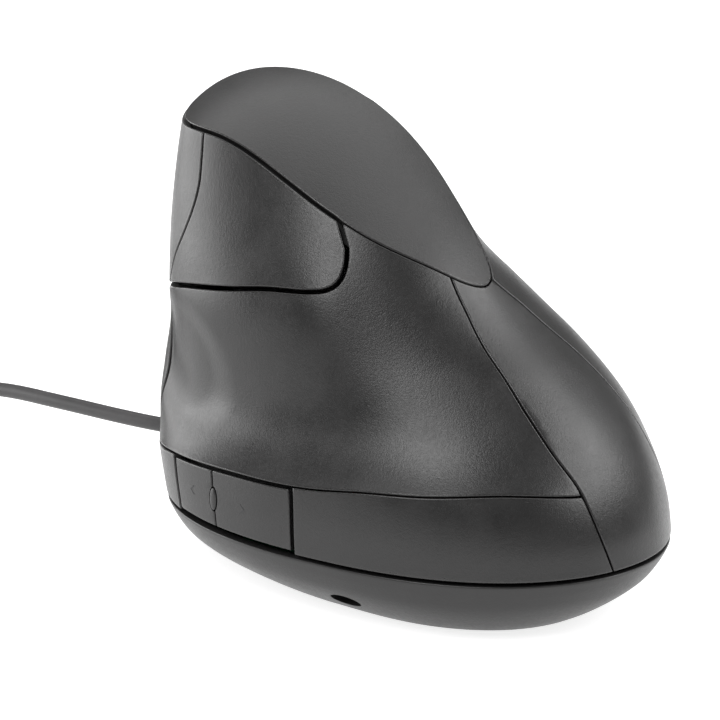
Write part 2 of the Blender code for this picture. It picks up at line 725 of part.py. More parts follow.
def base():
    bowl = finish_piece("base", bowl_mesh(), Matrix(), "shell")
    posts = [rod_mesh("post", x, y, 2.6, 2.0, BOARD_Z[0] - GAP) for x, y in BOARD_POSTS]
    posts += [rod_mesh("boss", x, y, 4.4, 2.0, 5.0) for x, y in CASE_SCREWS]
    boolean(bowl, as_cutter("base_posts", joined("base_posts", posts), Matrix()), "UNION")
    tools = [rod_mesh("pilot", x, y, 1.3, 3.4, 9, 14) for x, y in BOARD_POSTS]
    stepped = [(0, 0), (3.1, 0), (3.1, 2.7), (1.4, 2.7), (1.4, 6), (0, 6)]
    tools += [turned_mesh("counterbore", stepped, x, y) for x, y in CASE_SCREWS]
    for x, y, rx, ry in FEET.values():
        tools.append(prism_mesh("pocket", round_outline(x, y, rx + GAP, ry + GAP, 28), -1, 1.1))
    x, y = LENS_HOLE
    tools.append(box_mesh("lens_hole", (x - 5, y - 6.5, -1), (x + 5, y + 6.5, 4)))
    boolean(bowl, as_cutter("base_openings", joined("base_openings", tools), Matrix()))
    slot = prism_mesh("dpi_opening", round_outline(0, 0, 3.1, 1.75, 24), -4.5, 4)
    boolean(bowl, as_cutter("dpi_opening", slot, dpi_frame()))
    for name, (x, y, rx, ry) in FEET.items():
        pad = prism_mesh(name, round_outline(x, y, rx, ry, 28), 0, 0.8)
        bevel(finish_piece(name, pad, Matrix(), "foot"), 0.2)


def main_board():
    outline = [
        (-29, -18), (-31.5, -12), (-31.5, 10), (-26, 32), (-17, 37), (4, 37), (7, 32), (7, -20), (0, -26),
        (-22, -26),
    ]
    board = finish_piece("main_board", prism_mesh("main_board", outline, *BOARD_Z), Matrix(), "board")
    tools = [rod_mesh("screw_hole", x, y, 1.4, 7, 11) for x, y in BOARD_POSTS]
    x, y = LENS_HOLE
    tools.append(rod_mesh("light_hole", x, y, 2.6, 7, 11))
    boolean(board, as_cutter("board_holes", joined("board_holes", tools), Matrix()))
    top = BOARD_Z[1] + GAP
    boxes = {
        "optical_sensor": ((x - 4.8, y - 6, top), (x + 4.8, y + 6, top + 2.8), "chip"),
        "controller_chip": ((-24, -14, top), (-14, -6, top + 1.7), "chip"),
        "cord_connector": ((-10, 28, top), (-2, 34, top + 5.2), "connector"),
        "flank_connector": ((-2.5, 8.6, top), (3.5, 16.4, top + 3.4), "connector"),
    }
    for name, (low, high, look) in boxes.items():
        bevel(finish_piece(name, box_mesh(name, low, high), Matrix(), look), 0.3)
    rod = turned_mesh("capacitor", [(0, 0), (2.4, 0), (2.5, 0.2), (2.5, 6.4), (2.2, 6.8), (0, 6.8)])
    finish_piece("capacitor", rod, frame_at((-16, 20, top), *Matrix.Identity(3)), "can")
    lamp = turned_mesh("lamp", [(0, 0), (1.9, 0), (1.9, 0.8), (1.5, 0.8), (1.5, 3.4), (1.1, 4.4), (0, 4.9)])
    down = frame_at((x, y + 11.6, top + 2.1), Vector((1, 0, 0)), Vector((0, 0, 1)), Vector((0, -1, 0)))
    finish_piece("lamp", lamp, down, "lamp")


def optics_and_slider():
    x, y = LENS_HOLE
    plate = finish_piece("lens", box_mesh("lens", (x - 7, y - 8.4, 3.0), (x + 7, y + 8.4, 6.0)), Matrix(), "lens")
    foot = box_mesh("lens_foot", (x - 3.6, y - 5, 1.2), (x + 3.6, y + 5, 4))
    stem = rod_mesh("lens_stem", x, y, 2.2, 5, BOARD_Z[0] + 0.6)
    boolean(plate, as_cutter("lens_parts", joined("lens_parts", [foot, stem]), Matrix()), "UNION")
    body = finish_piece("dpi_switch", box_mesh("dpi_switch", (-31.4, -8.2, 4.4), (-26.6, 1.2, 7.7)), Matrix(), "metal")
    room = box_mesh("slider_room", (-32.5, -6.4, 4.9), (-29.2, -0.6, 6.9))
    boolean(body, as_cutter("slider_room", room, Matrix()))
    nub = finish_piece("dpi_slider", box_mesh("dpi_slider", (-34.6, -4.7, 5.1), (-29.8, -2.3, 6.6)), Matrix(), "key")
    bevel(nub, 0.3)


def screw(name, x, y, head, low, up):
    """A pan-head screw standing on its head, or on its tip when up is -1."""
    profile = [(0, 0), (2.1, 0), (2.6, 0.5), (2.6, 1.3), (1.0, 1.3), (1.0, low), (0.4, low + 0.7), (0, low + 0.7)]
    mesh = turned_mesh(name, profile, 0, 0, 20)
    z = Vector((0, 0, up))
    at = frame_at((x, y, head), Vector((1, 0, 0)), Vector((0, up, 0)), z)
    piece = finish_piece(name, mesh, at, "steel")
    cross = [box_mesh("slot", (-1.5, -0.3, -1), (1.5, 0.3, 0.6))]
    boolean(piece, as_cutter(name + "_slot", joined("slot", cross), at))


def screws():
    for k, (x, y) in enumerate(BOARD_POSTS):
        screw("board_screw_%d" % (k + 1), x, y, BOARD_Z[1] + GAP + 1.3, 6.4, -1)
    for k, (x, y) in enumerate(CASE_SCREWS):
        screw("case_screw_%d" % (k + 1), x, y, 1.1, 6.0, 1)


def finger_stand():
    """The slanted wall that carries the finger board, with its foot on the base's bosses."""
    flank = flank_frames()[0]
    outline = [(-19, -20), (-11, -20), (-11, -31), (2.5, -31), (2.5, -22), (11.5, -20), (11.5, 20), (-19, 20)]
    wall = finish_piece("finger_stand", prism_mesh("finger_stand", outline, -27.1, -25.1), flank, "frame")
    spots = ((-16.5, -14), (9, -17), (-16.5, 17), (9, 17))
    posts = [rod_mesh("post", v, w, 2.0, -25.8, -13.7) for v, w in spots]
    boolean(wall, as_cutter("stand_posts", joined("stand_posts", posts), flank), "UNION")
    foot = box_mesh("stand_foot", (9.5, 8, 5.3), (19.5, 31, 9.0))
    boolean(wall, as_cutter("stand_foot", foot, Matrix()), "UNION")
    holes = [rod_mesh("pilot", x, y, 1.3, 4, 8.3) for x, y in CASE_SCREWS]
    boolean(wall, as_cutter("stand_pilots", joined("stand_pilots", holes), Matrix()))


def finger_board():
    flank = flank_frames()[0]
    outline = [
        (-19, -22), (11.5, -22), (11.5, -7.6), (-13, -7.6), (-13, 12.6), (11.5, 12.6), (11.5, 22.5), (-19, 22.5),
    ]
    finish_piece("finger_board", prism_mesh("finger_board", outline, -13.4, -11.8), flank, "board")


def micro_switch(name, frame, v, w, size, low, high, plunger):
    """A switch body with a bore, and its plunger in the bore."""
    half_v, half_w = size
    body = box_mesh(name + "_switch", (v - half_v, w - half_w, low), (v + half_v, w + half_w, high))
    piece = finish_piece(name + "_switch", body, frame, "switch")
    bore = rod_mesh(name + "_bore", v, w, plunger[0] + 0.35, high - 1.9, high + 2, 16)
    boolean(piece, as_cutter(name + "_bore", bore, frame))
    pin = rod_mesh(name + "_plunger", v, w, plunger[0], high - 1.0, plunger[1], 16)
    finish_piece(name + "_plunger", pin, frame, "plunger")


def switches():
    flank = flank_frames()[0]
    micro_switch("index", flank, 2.0, 17.6, (6.4, 2.9), -11.5, -7.6, (1.1, INDEX_TIP))
    micro_switch("middle", flank, 2.0, -14.6, (6.4, 2.9), -11.5, -7.0, (1.1, MIDDLE_TIP))
    micro_switch("wheel", flank, 0.0, 0.0, (3.1, 3.1), -24.8, -22.7, (1.5, -21.3))
    thumb = thumb_frame()
    plate = finish_piece("thumb_board", box_mesh("thumb_board", (-13.5, -8, -12.6), (13.5, 4.5, -11.0)), thumb, "board")
    bevel(plate, 0.2)
    micro_switch("thumb_front", thumb, THUMB_V[0], 0, (3.1, 3.1), -10.7, -5.0, (1.3, THUMB_TIPS[0]))
    micro_switch("thumb_rear", thumb, THUMB_V[1], 0, (3.1, 3.1), -10.7, -5.0, (1.3, THUMB_TIPS[1]))


def wheel():
    spin = flank_frames()[1]
    hub_profile = [
        (0, -6.4), (0.9, -6.4), (0.9, -2.9), (2.6, -2.9), (2.6, -2.2), (8.0, -2.2), (8.0, 2.2), (2.6, 2.2),
        (2.6, 2.9), (0.9, 2.9), (0.9, 8.6), (0, 8.6),
    ]
    finish_piece("wheel_hub", turned_mesh("wheel_hub", hub_profile, count=36), spin, "hub")
    tyre_profile = [(8.3, -2.4), (10.3, -2.6), (10.9, -1.9), (11, 0), (10.9, 1.9), (10.3, 2.6), (8.3, 2.4)]
    finish_piece("wheel_tyre", ring_mesh("wheel_tyre", tyre_profile), spin, "tyre")
    sling = [(3, 3.8), (3, 5.4), (-13.0, 5.4), (-13.0, -5.4), (3, -5.4), (3, -3.8), (-11.6, -3.8), (-11.6, 3.8)]
    side = spin @ Matrix.Rotation(math.radians(90), 4, "X")
    cradle = finish_piece("wheel_cradle", prism_mesh("wheel_cradle", sling, -4.5, 4.5), side, "frame")
    axle_way = rod_mesh("axle_way", 0, 0, 1.2, -8, 8)
    boolean(cradle, as_cutter("axle_way", axle_way, spin))
    block = finish_piece("wheel_encoder", box_mesh("wheel_encoder", (-5, -4.6, 5.7), (3.2, 4.6, 10.4)), spin, "switch")
    boolean(block, as_cutter("encoder_way", rod_mesh("encoder_way", 0, 0, 1.2, 5, 9.3), spin))


def ribbon():
    """The flat lead from the finger board down to the main board, bent in the XZ plane."""
    path = [(15.4, 21.6), (14.6, 17.4), (12.2, 14.4), (8, 13.6), (4.2, 13.6)]
    left, right = [], []
    for k, (x, z) in enumerate(path):
        ahead, back = path[min(k + 1, len(path) - 1)], path[max(k - 1, 0)]
        along = Vector((ahead[0] - back[0], ahead[1] - back[1])).normalized()
        left.append((x - along.y * 0.35, z + along.x * 0.35))
        right.append((x + along.y * 0.35, z - along.x * 0.35))
    side = frame_at((0, 0, 0), Vector((1, 0, 0)), Vector((0, 0, 1)), Vector((0, -1, 0)))
    strip = prism_mesh("flank_ribbon", left + right[::-1], -15.6, -9.4)
    finish_piece("flank_ribbon", strip, side, "ribbon")


def tube(name, points, radius, look):
    """A round cord through the points."""
    data = bpy.data.curves.new(name, "CURVE")
    data.dimensions = "3D"
    data.bevel_depth = radius * MM
    data.bevel_resolution = 2
    data.use_fill_caps = True
    spline = data.splines.new("POLY")
    spline.points.add(len(points) - 1)
    for p, q in zip(spline.points, points):
        p.co = (*(float(v) * MM for v in q), 1)
    return finish_piece(name, data, Matrix(), look)


def along_route(route, spacing):
    """Evenly spaced points of a smooth curve through a route."""
    p = np.array(route, float)
    chord = np.concatenate([[0], np.cumsum(np.linalg.norm(np.diff(p, axis=0), axis=1))])
    t = np.linspace(0, chord[-1], int(chord[-1] / spacing) + 1)
    return np.stack([curve(list(zip(chord, p[:, k])), t) for k in range(3)], 1)


def cord_and_plug():
    relief_profile = [(0, -5.6), (3.4, -5.6), (3.4, -2.6), (2.3, -2.4), (2.3, 2.0), (1.9, 8.6), (0, 8.6)]
    finish_piece("strain_relief", turned_mesh("strain_relief", relief_profile), nose_frame(), "cord")
    tube("cord", along_route(CORD_ROUTE, 7.5), CORD_R, "cord")
    leads = [(0, 42.4, 15), (0, 41.0, 15), (-2.0, 39.2, 14.2), (-4.6, 37.4, 13.0), (-5.8, 36.2, 12.6), (-5.9, 34.9, 12.5)]
    tube("cord_leads", along_route(leads, 1.8), 1.2, "cord")
    a, b = COIL_HALF
    profile = [(COIL_R + a * math.cos(t), b + b * math.sin(t)) for t in np.linspace(0, 2 * math.pi, 13)[:-1]]
    coil = ring_mesh("cord_coil", profile, 40)
    finish_piece("cord_coil", coil, frame_at((*COIL_CENTRE, 0.05), *Matrix.Identity(3)), "cord")
    turn = math.radians(PLUG_TURN)
    x_axis, y_axis = Vector((math.cos(turn), math.sin(turn), 0)), Vector((-math.sin(turn), math.cos(turn), 0))
    at = frame_at(PLUG_AT, x_axis, y_axis, Vector((0, 0, 1)))
    grip = finish_piece("plug_grip", box_mesh("plug_grip", (-14, -8, 0), (10, 8, 8)), at, "cord")
    bevel(grip, 1.6, 2)
    shell = finish_piece("plug_shell", box_mesh("plug_shell", (10.3, -6, 1.75), (22.3, 6, 6.25)), at, "steel")
    mouth = box_mesh("plug_mouth", (11.4, -5.6, 2.15), (24, 5.6, 5.85))
    boolean(shell, as_cutter("plug_mouth", mouth, at))


def centre_everything():
    """Brings the footprint's middle to the origin."""
    for o in bpy.data.objects:
        o.matrix_world = Matrix.Translation((SHIFT_X * MM, SHIFT_Y * MM, 0)) @ o.matrix_world


LOOKS = {
    "shell": ((0.05, 0.05, 0.052), 0.5, 0.0),
    "key": ((0.045, 0.045, 0.047), 0.5, 0.0),
    "foot": ((0.012, 0.012, 0.012), 0.4, 0.0),
    "board": ((0.02, 0.12, 0.05), 0.45, 0.0),
    "chip": ((0.015, 0.015, 0.017), 0.4, 0.0),
    "connector": ((0.75, 0.73, 0.66), 0.5, 0.0),
    "can": ((0.1, 0.12, 0.2), 0.35, 0.0),
    "lamp": ((0.7, 0.08, 0.06), 0.2, 0.0),
    "lens": ((0.7, 0.75, 0.78), 0.1, 0.0),
    "metal": ((0.6, 0.6, 0.6), 0.35, 1.0),
    "steel": ((0.62, 0.62, 0.62), 0.3, 1.0),
    "frame": ((0.09, 0.09, 0.095), 0.6, 0.0),
    "switch": ((0.03, 0.03, 0.035), 0.5, 0.0),
    "plunger": ((0.6, 0.1, 0.08), 0.5, 0.0),
    "hub": ((0.08, 0.08, 0.085), 0.5, 0.0),
    "tyre": ((0.02, 0.02, 0.02), 0.8, 0.0),
    "ribbon": ((0.55, 0.55, 0.56), 0.6, 0.0),
    "cord": ((0.03, 0.03, 0.031), 0.55, 0.0),
}

clear_scene()
PARTS = collection("vertical_mouse")
CUTTERS = collection("cutters")
CUTTERS.hide_render = True
thumb_side_panels()
thumb_buttons()
finger_side_panels()
finger_buttons()
covers()
base()
main_board()
optics_and_slider()
screws()
finger_stand()
finger_board()
switches()
wheel()
ribbon()
cord_and_plug()
centre_everything()
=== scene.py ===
"""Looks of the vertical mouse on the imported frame: shell panels, keys, wheel, base, cord and materials.

Tables are in millimetres in the mouse's own drawing frame; to_row brings them to the row frame in metres.
"""

import json
import math

import bmesh
import bpy
import numpy as np
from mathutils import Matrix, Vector
from mathutils.geometry import delaunay_2d_cdt


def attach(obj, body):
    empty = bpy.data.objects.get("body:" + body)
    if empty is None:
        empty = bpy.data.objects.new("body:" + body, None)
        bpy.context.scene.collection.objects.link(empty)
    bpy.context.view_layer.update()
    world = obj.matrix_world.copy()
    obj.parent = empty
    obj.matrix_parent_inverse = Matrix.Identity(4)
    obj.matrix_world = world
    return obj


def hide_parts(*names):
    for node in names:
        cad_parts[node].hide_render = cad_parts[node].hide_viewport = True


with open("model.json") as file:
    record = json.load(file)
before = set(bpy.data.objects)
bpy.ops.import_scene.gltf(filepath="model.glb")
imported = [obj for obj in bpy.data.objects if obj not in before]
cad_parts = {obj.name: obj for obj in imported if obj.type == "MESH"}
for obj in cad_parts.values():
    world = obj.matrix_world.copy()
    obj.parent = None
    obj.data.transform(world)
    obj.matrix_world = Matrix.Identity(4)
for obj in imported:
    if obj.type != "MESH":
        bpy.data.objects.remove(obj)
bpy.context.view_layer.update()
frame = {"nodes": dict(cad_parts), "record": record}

MM = 0.001
SHIFT_X = 2.87  # centres the footprint on X = 0
SHIFT_Y = -0.93

# The skin is a stack of rounded outlines. Angle 0 is the front, 90 the thumb side, 180 the rear and 270 the
# finger side. Each table is (height, reach of the outline in that direction from the Z axis).
FRONT = [
    (12, 48.3), (22, 50.2), (28, 51.0), (35, 50.3), (44, 48.9), (50, 49.2), (65, 49.5), (78, 48.7), (92, 46.5),
]
REAR = [
    (12, 49.2), (18, 48.1), (24, 45.5), (29, 42), (34.5, 37), (42, 28.5), (48, 21), (55, 14), (60, 10.3),
    (66, 7), (74, 3), (92, -4),
]
LEFT = [(12, 38.2), (20, 38), (27, 37), (38, 33.5), (48, 29.5), (58, 25.5), (68, 21), (78, 16.5), (92, 10)]
RIGHT = [(12, 36), (22, 35.3), (32, 32), (42, 27.5), (52, 22.3), (62, 16), (72, 12.5), (92, 9)]
CENTRE_Y = [(12, 3), (25, 4), (40, 9), (57, 17), (68, 22), (80, 27), (92, 30)]
CENTRE_X = [(12, 0), (40, -1), (60, -2.5), (80, -3), (92, -3)]
SKEW = [(12, -7), (30, -6), (50, -3), (70, 0), (92, 0)]
FRONT_POWER = 2.5
REAR_POWER = 2.0
# The finger side's rear corner is fuller at mid height, by height.
RIGHT_POWER = [
    (12, 1.9), (25, 2.0), (34, 2.3), (45, 2.45), (52, 2.3), (58, 1.95), (66, 1.7), (76, 2.0), (92, 2.0),
]
# The top cover's surface: height along the middle line and cross slope, by Y.
CAP_HEIGHT = [
    (-20, 49), (-12, 57), (-8.8, 60.2), (3.6, 70.4), (11.3, 75.8), (20, 80.3), (30, 83.3), (37, 83.9),
    (42.8, 83.3), (46, 82.5), (50, 81.0),
]
CAP_SLOPE = [(-20, -0.1), (-9, 0), (4, 0.12), (12, 0.2), (20, 0.24), (37, 0.24), (46, 0.28)]
CAP_CROWN = 0.016
CAP_LOW = 40.0
CAP_TOP = 92.0
# Seams on the skin, as (angle, height).
SEAM_Z = 12.4
CREASE = [
    (-10, 25), (10, 23.5), (26, 21.3), (50, 22.7), (73, 24), (88, 24.5), (103, 26), (117, 26.5), (137, 27),
    (158.5, 25.6),
]
CHEEK_LOWER = [
    (23, 48.6), (50, 51.7), (75, 54), (89, 55.4), (102, 56), (108, 56.5), (114, 58), (118, 60.5), (119.6, 63),
]
JAG = [(33, 49.75), (37, 52.4), (41, 55.2), (50, 60.5), (56, 65), (59.5, 69.5), (60, 74)]
REAR_LEFT = [
    (162.4, 12.4), (160, 18), (159, 22.5), (158.5, 27), (156.5, 32), (156, 38), (157, 43.5), (158, 48),
    (160, 52.5),
]
REAR_RIGHT = [(205, 12.4), (203, 24), (200, 33), (196, 42), (193, 46.5), (190, 51)]
THUMB_FRONT = [(24, 48.6), (26, 42), (27, 35), (27, 28), (27, 21.4)]
CHEEK_END = 118.0
CHEEK_TOP = 59.5
REAR_LEFT_TOP = 161.0
REAR_RIGHT_TOP = 184.0
BUTTON_ROOT = 255.0
BUTTON_FRONT = 322.0
THUMB_KEYS = (50.8, 67.4, 88.3)
BAND_TOP = 25.0
WHEEL_BAND = (40.0, 50.8)
# How far the thumb rest is hollowed, by angle, and the dish near its front edge.
HOLLOW = [(12, 0), (26, 0.8), (45, 2.8), (90, 4.2), (115, 3.8), (140, 2), (157, 0)]
HOLLOW_TOP = [(0, 48.6), (23, 48.6), (75, 54), (102, 56.5), (120, 62), (161, 57)]
DISH = (44.0, 38.2, 14.4, 12.3)  # angle, height and half sizes of the dish's rim
DISH_WALL = (1.12, 0.5)  # where its wall starts and how wide it is, as shares of the rim
DISH_DEPTH = 0.85
POOL = (36.0, 35.5, 6.5, 0.9)  # the deepest spot: angle, height, reach and depth

SHELL = 1.6
GAP = 0.3
WIDE_GAP = 0.8
KEY_GAP = 0.6
STEP = 1.1
# How an edge of a panel is cut: square to the skin, or mitred against the top cover or across the crease.
SQUARE = 0
AT_RIM = 1
AT_CREASE = 2
DEGREE = 0.6  # millimetres that one degree of the skin is taken as when it is meshed

# The base bowl: height and how much of the full inset is reached there.
BOWL = [(11.7, 0.0), (9.0, 0.1), (6.2, 0.26), (3.8, 0.5), (1.8, 0.78), (0.6, 1.0)]
BOWL_INSET = [
    (0, 12), (45, 13.3), (70, 12), (90, 9.8), (110, 8), (135, 8), (160, 10.5), (185, 14), (225, 12), (270, 9),
    (360, 12),
]
BOWL_WALL = 2.0
BOWL_SIDES = 240
FLOOR_TOP = 2.6

# The finger side's own frame: its middle on the skin, and the lean of the flank.
FLANK_POINT = (23.9, 27.4, 45.0)
FLANK_LEAN = 22.0
WHEEL_DEPTH = 8.0

BOARD_Z = (8.0, 9.6)
BOARD_POSTS = ((-27, -14), (0, -20), (1.5, 29.2))
CASE_SCREWS = ((14.5, 13), (14.5, 26))
FEET = {
    "foot_front": (-1, 30.5, 13, 4),
    "foot_rear": (-9.5, -29.6, 10, 3.8),
    "foot_left": (-22.6, -4, 3.6, 10.5),
    "foot_right": (17.8, -3, 3.6, 10.3),
}
LENS_HOLE = (-9.0, 0.0)

CORD_R = 1.4
CORD_ROUTE = [
    (0, 57.3, 14.9), (0.3, 63, 14.8), (1.0, 70, 14.6), (2.9, 84.5, 14.2), (5.7, 101, 13.1), (7.5, 116, 10.2),
    (8.0, 128, 7.2), (7.7, 139, 4.4), (7.1, 149, 2.6), (6.6, 157, 1.9), (6.5, 164, 1.8),
]
COIL_CENTRE = (34.0, 166.0)
COIL_R = 16.8
PLUG_AT = (34.0, 166.0, 9.95)
PLUG_TURN = 30.0
PLUG_BEND = 8.0  # radius of the turn into the plug's rear

MARK_ANGLES = (59.0, 76.5)
MARK_Z = 18.0
EDGE_R = 0.28
SHELL_DARK = (0.0115, 0.0112, 0.0112)
SHELL_LIGHT = (0.016, 0.0155, 0.0155)
SHELL_ROUGH = 0.34
CAMERA_SIDE = -60.0  # degrees round from behind, towards the thumb side
CAMERA_HEIGHT = 20.0
CAMERA_DISTANCE = 0.7
CAMERA_LENS = 192.5
CAMERA_AIM = (-13.3, 24.4)  # how far right of and above the target the camera looks
WORLD_LIGHT = 0.25
FLOOR_GLOW = 0.8
# Soft boxes: azimuth from the front towards the finger side, height angle, distance, size and radiance.
LIGHTS = (
    ("thumb_side_box", -84, 51, 0.8, (0.36, 0.54), 6.4),
    ("rear_box", 150, 36, 0.8, (0.86, 0.36), 4.8),
    ("front_box", -12, 9, 0.9, (0.8, 0.5), 4.4),
    ("overhead_box", 60, 62, 0.8, (1.0, 0.7), 1.7),
)


def curve(points, x):
    """A smooth curve through a table's points."""
    xs = np.array([p[0] for p in points], float)
    ys = np.array([p[1] for p in points], float)
    h = np.diff(xs)
    d = np.diff(ys) / h
    m = np.empty_like(ys)
    m[0], m[-1] = d[0], d[-1]
    m[1:-1] = (d[:-1] * h[1:] + d[1:] * h[:-1]) / (h[:-1] + h[1:])
    x = np.clip(np.asarray(x, float), xs[0], xs[-1])
    i = np.clip(np.searchsorted(xs, x) - 1, 0, len(xs) - 2)
    t = (x - xs[i]) / h[i]
    rise = (2 * t**3 - 3 * t**2 + 1) * ys[i] + (3 * t**2 - 2 * t**3) * ys[i + 1]
    return rise + (t**3 - 2 * t**2 + t) * h[i] * m[i] + (t**3 - t**2) * h[i] * m[i + 1]


def outline_point(angle, z):
    """X and Y of the plain skin at an angle in degrees and a height."""
    p = np.radians(angle)
    c, s = np.cos(p), np.sin(p)
    cy, cx = curve(CENTRE_Y, z), curve(CENTRE_X, z)
    a = np.where(c >= 0, curve(FRONT, z) - cy, curve(REAR, z) + cy)
    b = np.where(s >= 0, curve(LEFT, z) + cx, curve(RIGHT, z) - cx)
    front = 0.5 + 0.5 * c
    rear = np.where(s >= 0, REAR_POWER, curve(RIGHT_POWER, z))
    power = 2 / (FRONT_POWER * front + rear * (1 - front))
    x = cx - np.sign(s) * b * np.abs(s) ** power + curve(SKEW, z) * (1 - front) ** 2
    return x, cy + np.sign(c) * a * np.abs(c) ** power


def plain(uv):
    x, y = outline_point(uv[:, 0], uv[:, 1])
    return np.stack([x, y, uv[:, 1]], 1)


def normals(surface, uv):
    """Outward unit normals of a surface that is given as a function of two numbers."""
    du, dv = np.array([0.25, 0.0]), np.array([0.0, 0.25])
    n = np.cross(surface(uv + du) - surface(uv - du), surface(uv + dv) - surface(uv - dv))
    return n / np.linalg.norm(n, axis=1)[:, None]


def hollow(uv):
    """How far the thumb rest lies inside the plain skin."""
    angle, z = uv[:, 0] % 360, uv[:, 1]
    low, high = curve(CREASE, angle), curve(HOLLOW_TOP, angle)
    s = np.clip((z - low) / (high - low), 0, 1)
    broad = curve(HOLLOW, angle) * 6.75 * s * (1 - s) ** 2
    rim_share = np.hypot((angle - DISH[0]) * DEGREE / DISH[2], (z - DISH[1]) / DISH[3])
    wall = np.clip((DISH_WALL[0] - rim_share) / DISH_WALL[1], 0, 1)
    away = ((angle - POOL[0]) * DEGREE) ** 2 + (z - POOL[1]) ** 2
    dish = DISH_DEPTH * wall * wall * (3 - 2 * wall) + POOL[3] * np.exp(-away / POOL[2] ** 2)
    fade = np.clip((angle - 21) / 8, 0, 1) * (angle < 200) * np.sin(math.pi * s) ** 0.3
    return broad + dish * fade


def skin(uv):
    uv = np.asarray(uv, float)
    return plain(uv) - normals(plain, uv) * hollow(uv)[:, None]


def cap(uv):
    """The top cover's surface over X and Y."""
    uv = np.asarray(uv, float)
    x, y = uv[:, 0], uv[:, 1]
    z = curve(CAP_HEIGHT, y) + curve(CAP_SLOPE, y) * x - CAP_CROWN / 2 * x * x
    return np.stack([x, y, z], 1)


def rim(angle):
    """The height at which the skin meets the top cover's surface."""
    angle = np.asarray(angle, float)
    low, high = np.full(angle.shape, CAP_LOW), np.full(angle.shape, CAP_TOP)
    for _ in range(30):
        middle = (low + high) / 2
        x, y = outline_point(angle, middle)
        above = middle > cap(np.stack([x, y], 1))[:, 2]
        high, low = np.where(above, middle, high), np.where(above, low, middle)
    return (low + high) / 2


def rim_edge(start, stop):
    angles = np.linspace(start, stop, max(3, int(abs(stop - start) / 3)))
    return [(a, z) for a, z in zip(angles, rim(angles))]


def meet(points, angle):
    """A seam that runs on to the rim at the given angle."""
    return points + [(angle, float(rim(np.array([angle]))[0]))]


def part_of(points, start, stop, count=12):
    """The piece of a seam between two angles."""
    angles = np.linspace(start, stop, count)
    return [(a, float(curve(points, a))) for a in angles]


def smooth(points, count=24):
    """The same seam with more points, by distance along it."""
    p = np.array(points, float)
    along = np.concatenate([[0], np.cumsum(np.hypot(np.diff(p[:, 0]) * DEGREE, np.diff(p[:, 1])))])
    t = np.linspace(0, along[-1], count)
    angles, heights = (curve(list(zip(along, p[:, k])), t) for k in (0, 1))
    return [(float(a), float(z)) for a, z in zip(angles, heights)]


def resampled(surface, points, step):
    """Points of an edge about a step apart on the surface."""
    p = np.array(points, float)
    at = surface(p)
    along = np.concatenate([[0], np.cumsum(np.linalg.norm(np.diff(at, axis=0), axis=1))])
    t = np.linspace(0, along[-1], max(2, int(round(along[-1] / step)) + 1))
    return np.stack([np.interp(t, along, p[:, k]) for k in (0, 1)], 1)


def ring_of(surface, edges, step):
    """The closed outline that edges make, with each point's gap on either side and whether it is mitred."""
    ring, gaps, mitre = [], [], []
    for points, gap, mitred in edges:
        for q in resampled(surface, points, step)[:-1]:
            ring.append(q)
            gaps.append(gap)
            mitre.append(mitred)
    ring, gaps, mitre = np.array(ring), np.array(gaps), np.array(mitre, int)
    before = np.roll(gaps, 1)
    mitre = np.maximum(mitre, np.roll(mitre, 1))
    x, y = ring[:, 0], ring[:, 1]
    if np.sum(x * np.roll(y, -1) - np.roll(x, -1) * y) < 0:
        ring, gaps, before, mitre = ring[::-1], before[::-1], gaps[::-1], mitre[::-1]
    return ring, before, gaps, mitre


def moved_in(surface, ring, before, after):
    """The outline moved inwards by its gaps, measured on the surface."""
    at, n = surface(ring), normals(surface, ring)
    to_next = np.roll(at, -1, axis=0) - at
    to_next /= np.linalg.norm(to_next, axis=1)[:, None]
    into_1, into_2 = np.cross(n, np.roll(to_next, 1, axis=0)), np.cross(n, to_next)
    out = []
    for k in range(len(ring)):
        if into_1[k] @ into_2[k] > 0.95:
            push = (into_1[k] + into_2[k]) / 2 * (before[k] + after[k]) / 2
        else:
            rows = np.array([into_1[k], into_2[k], n[k]])
            push = np.linalg.solve(rows, [before[k], after[k], 0.0])
        far = np.linalg.norm(push)
        push *= min(1.0, 3.0 * max(before[k], after[k]) / max(far, 1e-9))
        e = 0.2
        du = (surface(ring[k : k + 1] + [e, 0]) - surface(ring[k : k + 1] - [e, 0]))[0] / (2 * e)
        dv = (surface(ring[k : k + 1] + [0, e]) - surface(ring[k : k + 1] - [0, e]))[0] / (2 * e)
        out.append(ring[k] + np.linalg.lstsq(np.stack([du, dv], 1), push, rcond=None)[0])
    return np.array(out)


def inside(ring, points):
    """Which points lie inside an outline."""
    hit = np.zeros(len(points), bool)
    for (x1, y1), (x2, y2) in zip(ring, np.roll(ring, -1, axis=0)):
        crosses = (y1 > points[:, 1]) != (y2 > points[:, 1])
        hit ^= crosses & (points[:, 0] < (x2 - x1) * (points[:, 1] - y1) / (y2 - y1 + 1e-12) + x1)
    return hit


def filled(ring, step):
    """Points and triangles that fill an outline; the outline's points come first."""
    low, high = ring.min(axis=0), ring.max(axis=0)
    rows = np.arange(low[1] + step / 2, high[1], step * 0.87)
    grid = [(x, y) for k, y in enumerate(rows) for x in np.arange(low[0] + step * (k % 2) / 2, high[0], step)]
    grid = np.array(grid or [(0.0, 0.0)])
    near = np.min(np.linalg.norm(grid[:, None] - ring[None], axis=2), axis=1)
    grid = grid[inside(ring, grid) & (near > 0.62 * step)]
    points = np.concatenate([ring, grid])
    edges = [(k, (k + 1) % len(ring)) for k in range(len(ring))]
    got = delaunay_2d_cdt([Vector(p) for p in points], edges, [], 1, 1e-7)
    flat = np.array([tuple(v) for v in got[0]])
    middles = np.array([flat[list(f)].mean(axis=0) for f in got[2]])
    return flat, [f for f, keep in zip(got[2], inside(ring, middles)) if keep]


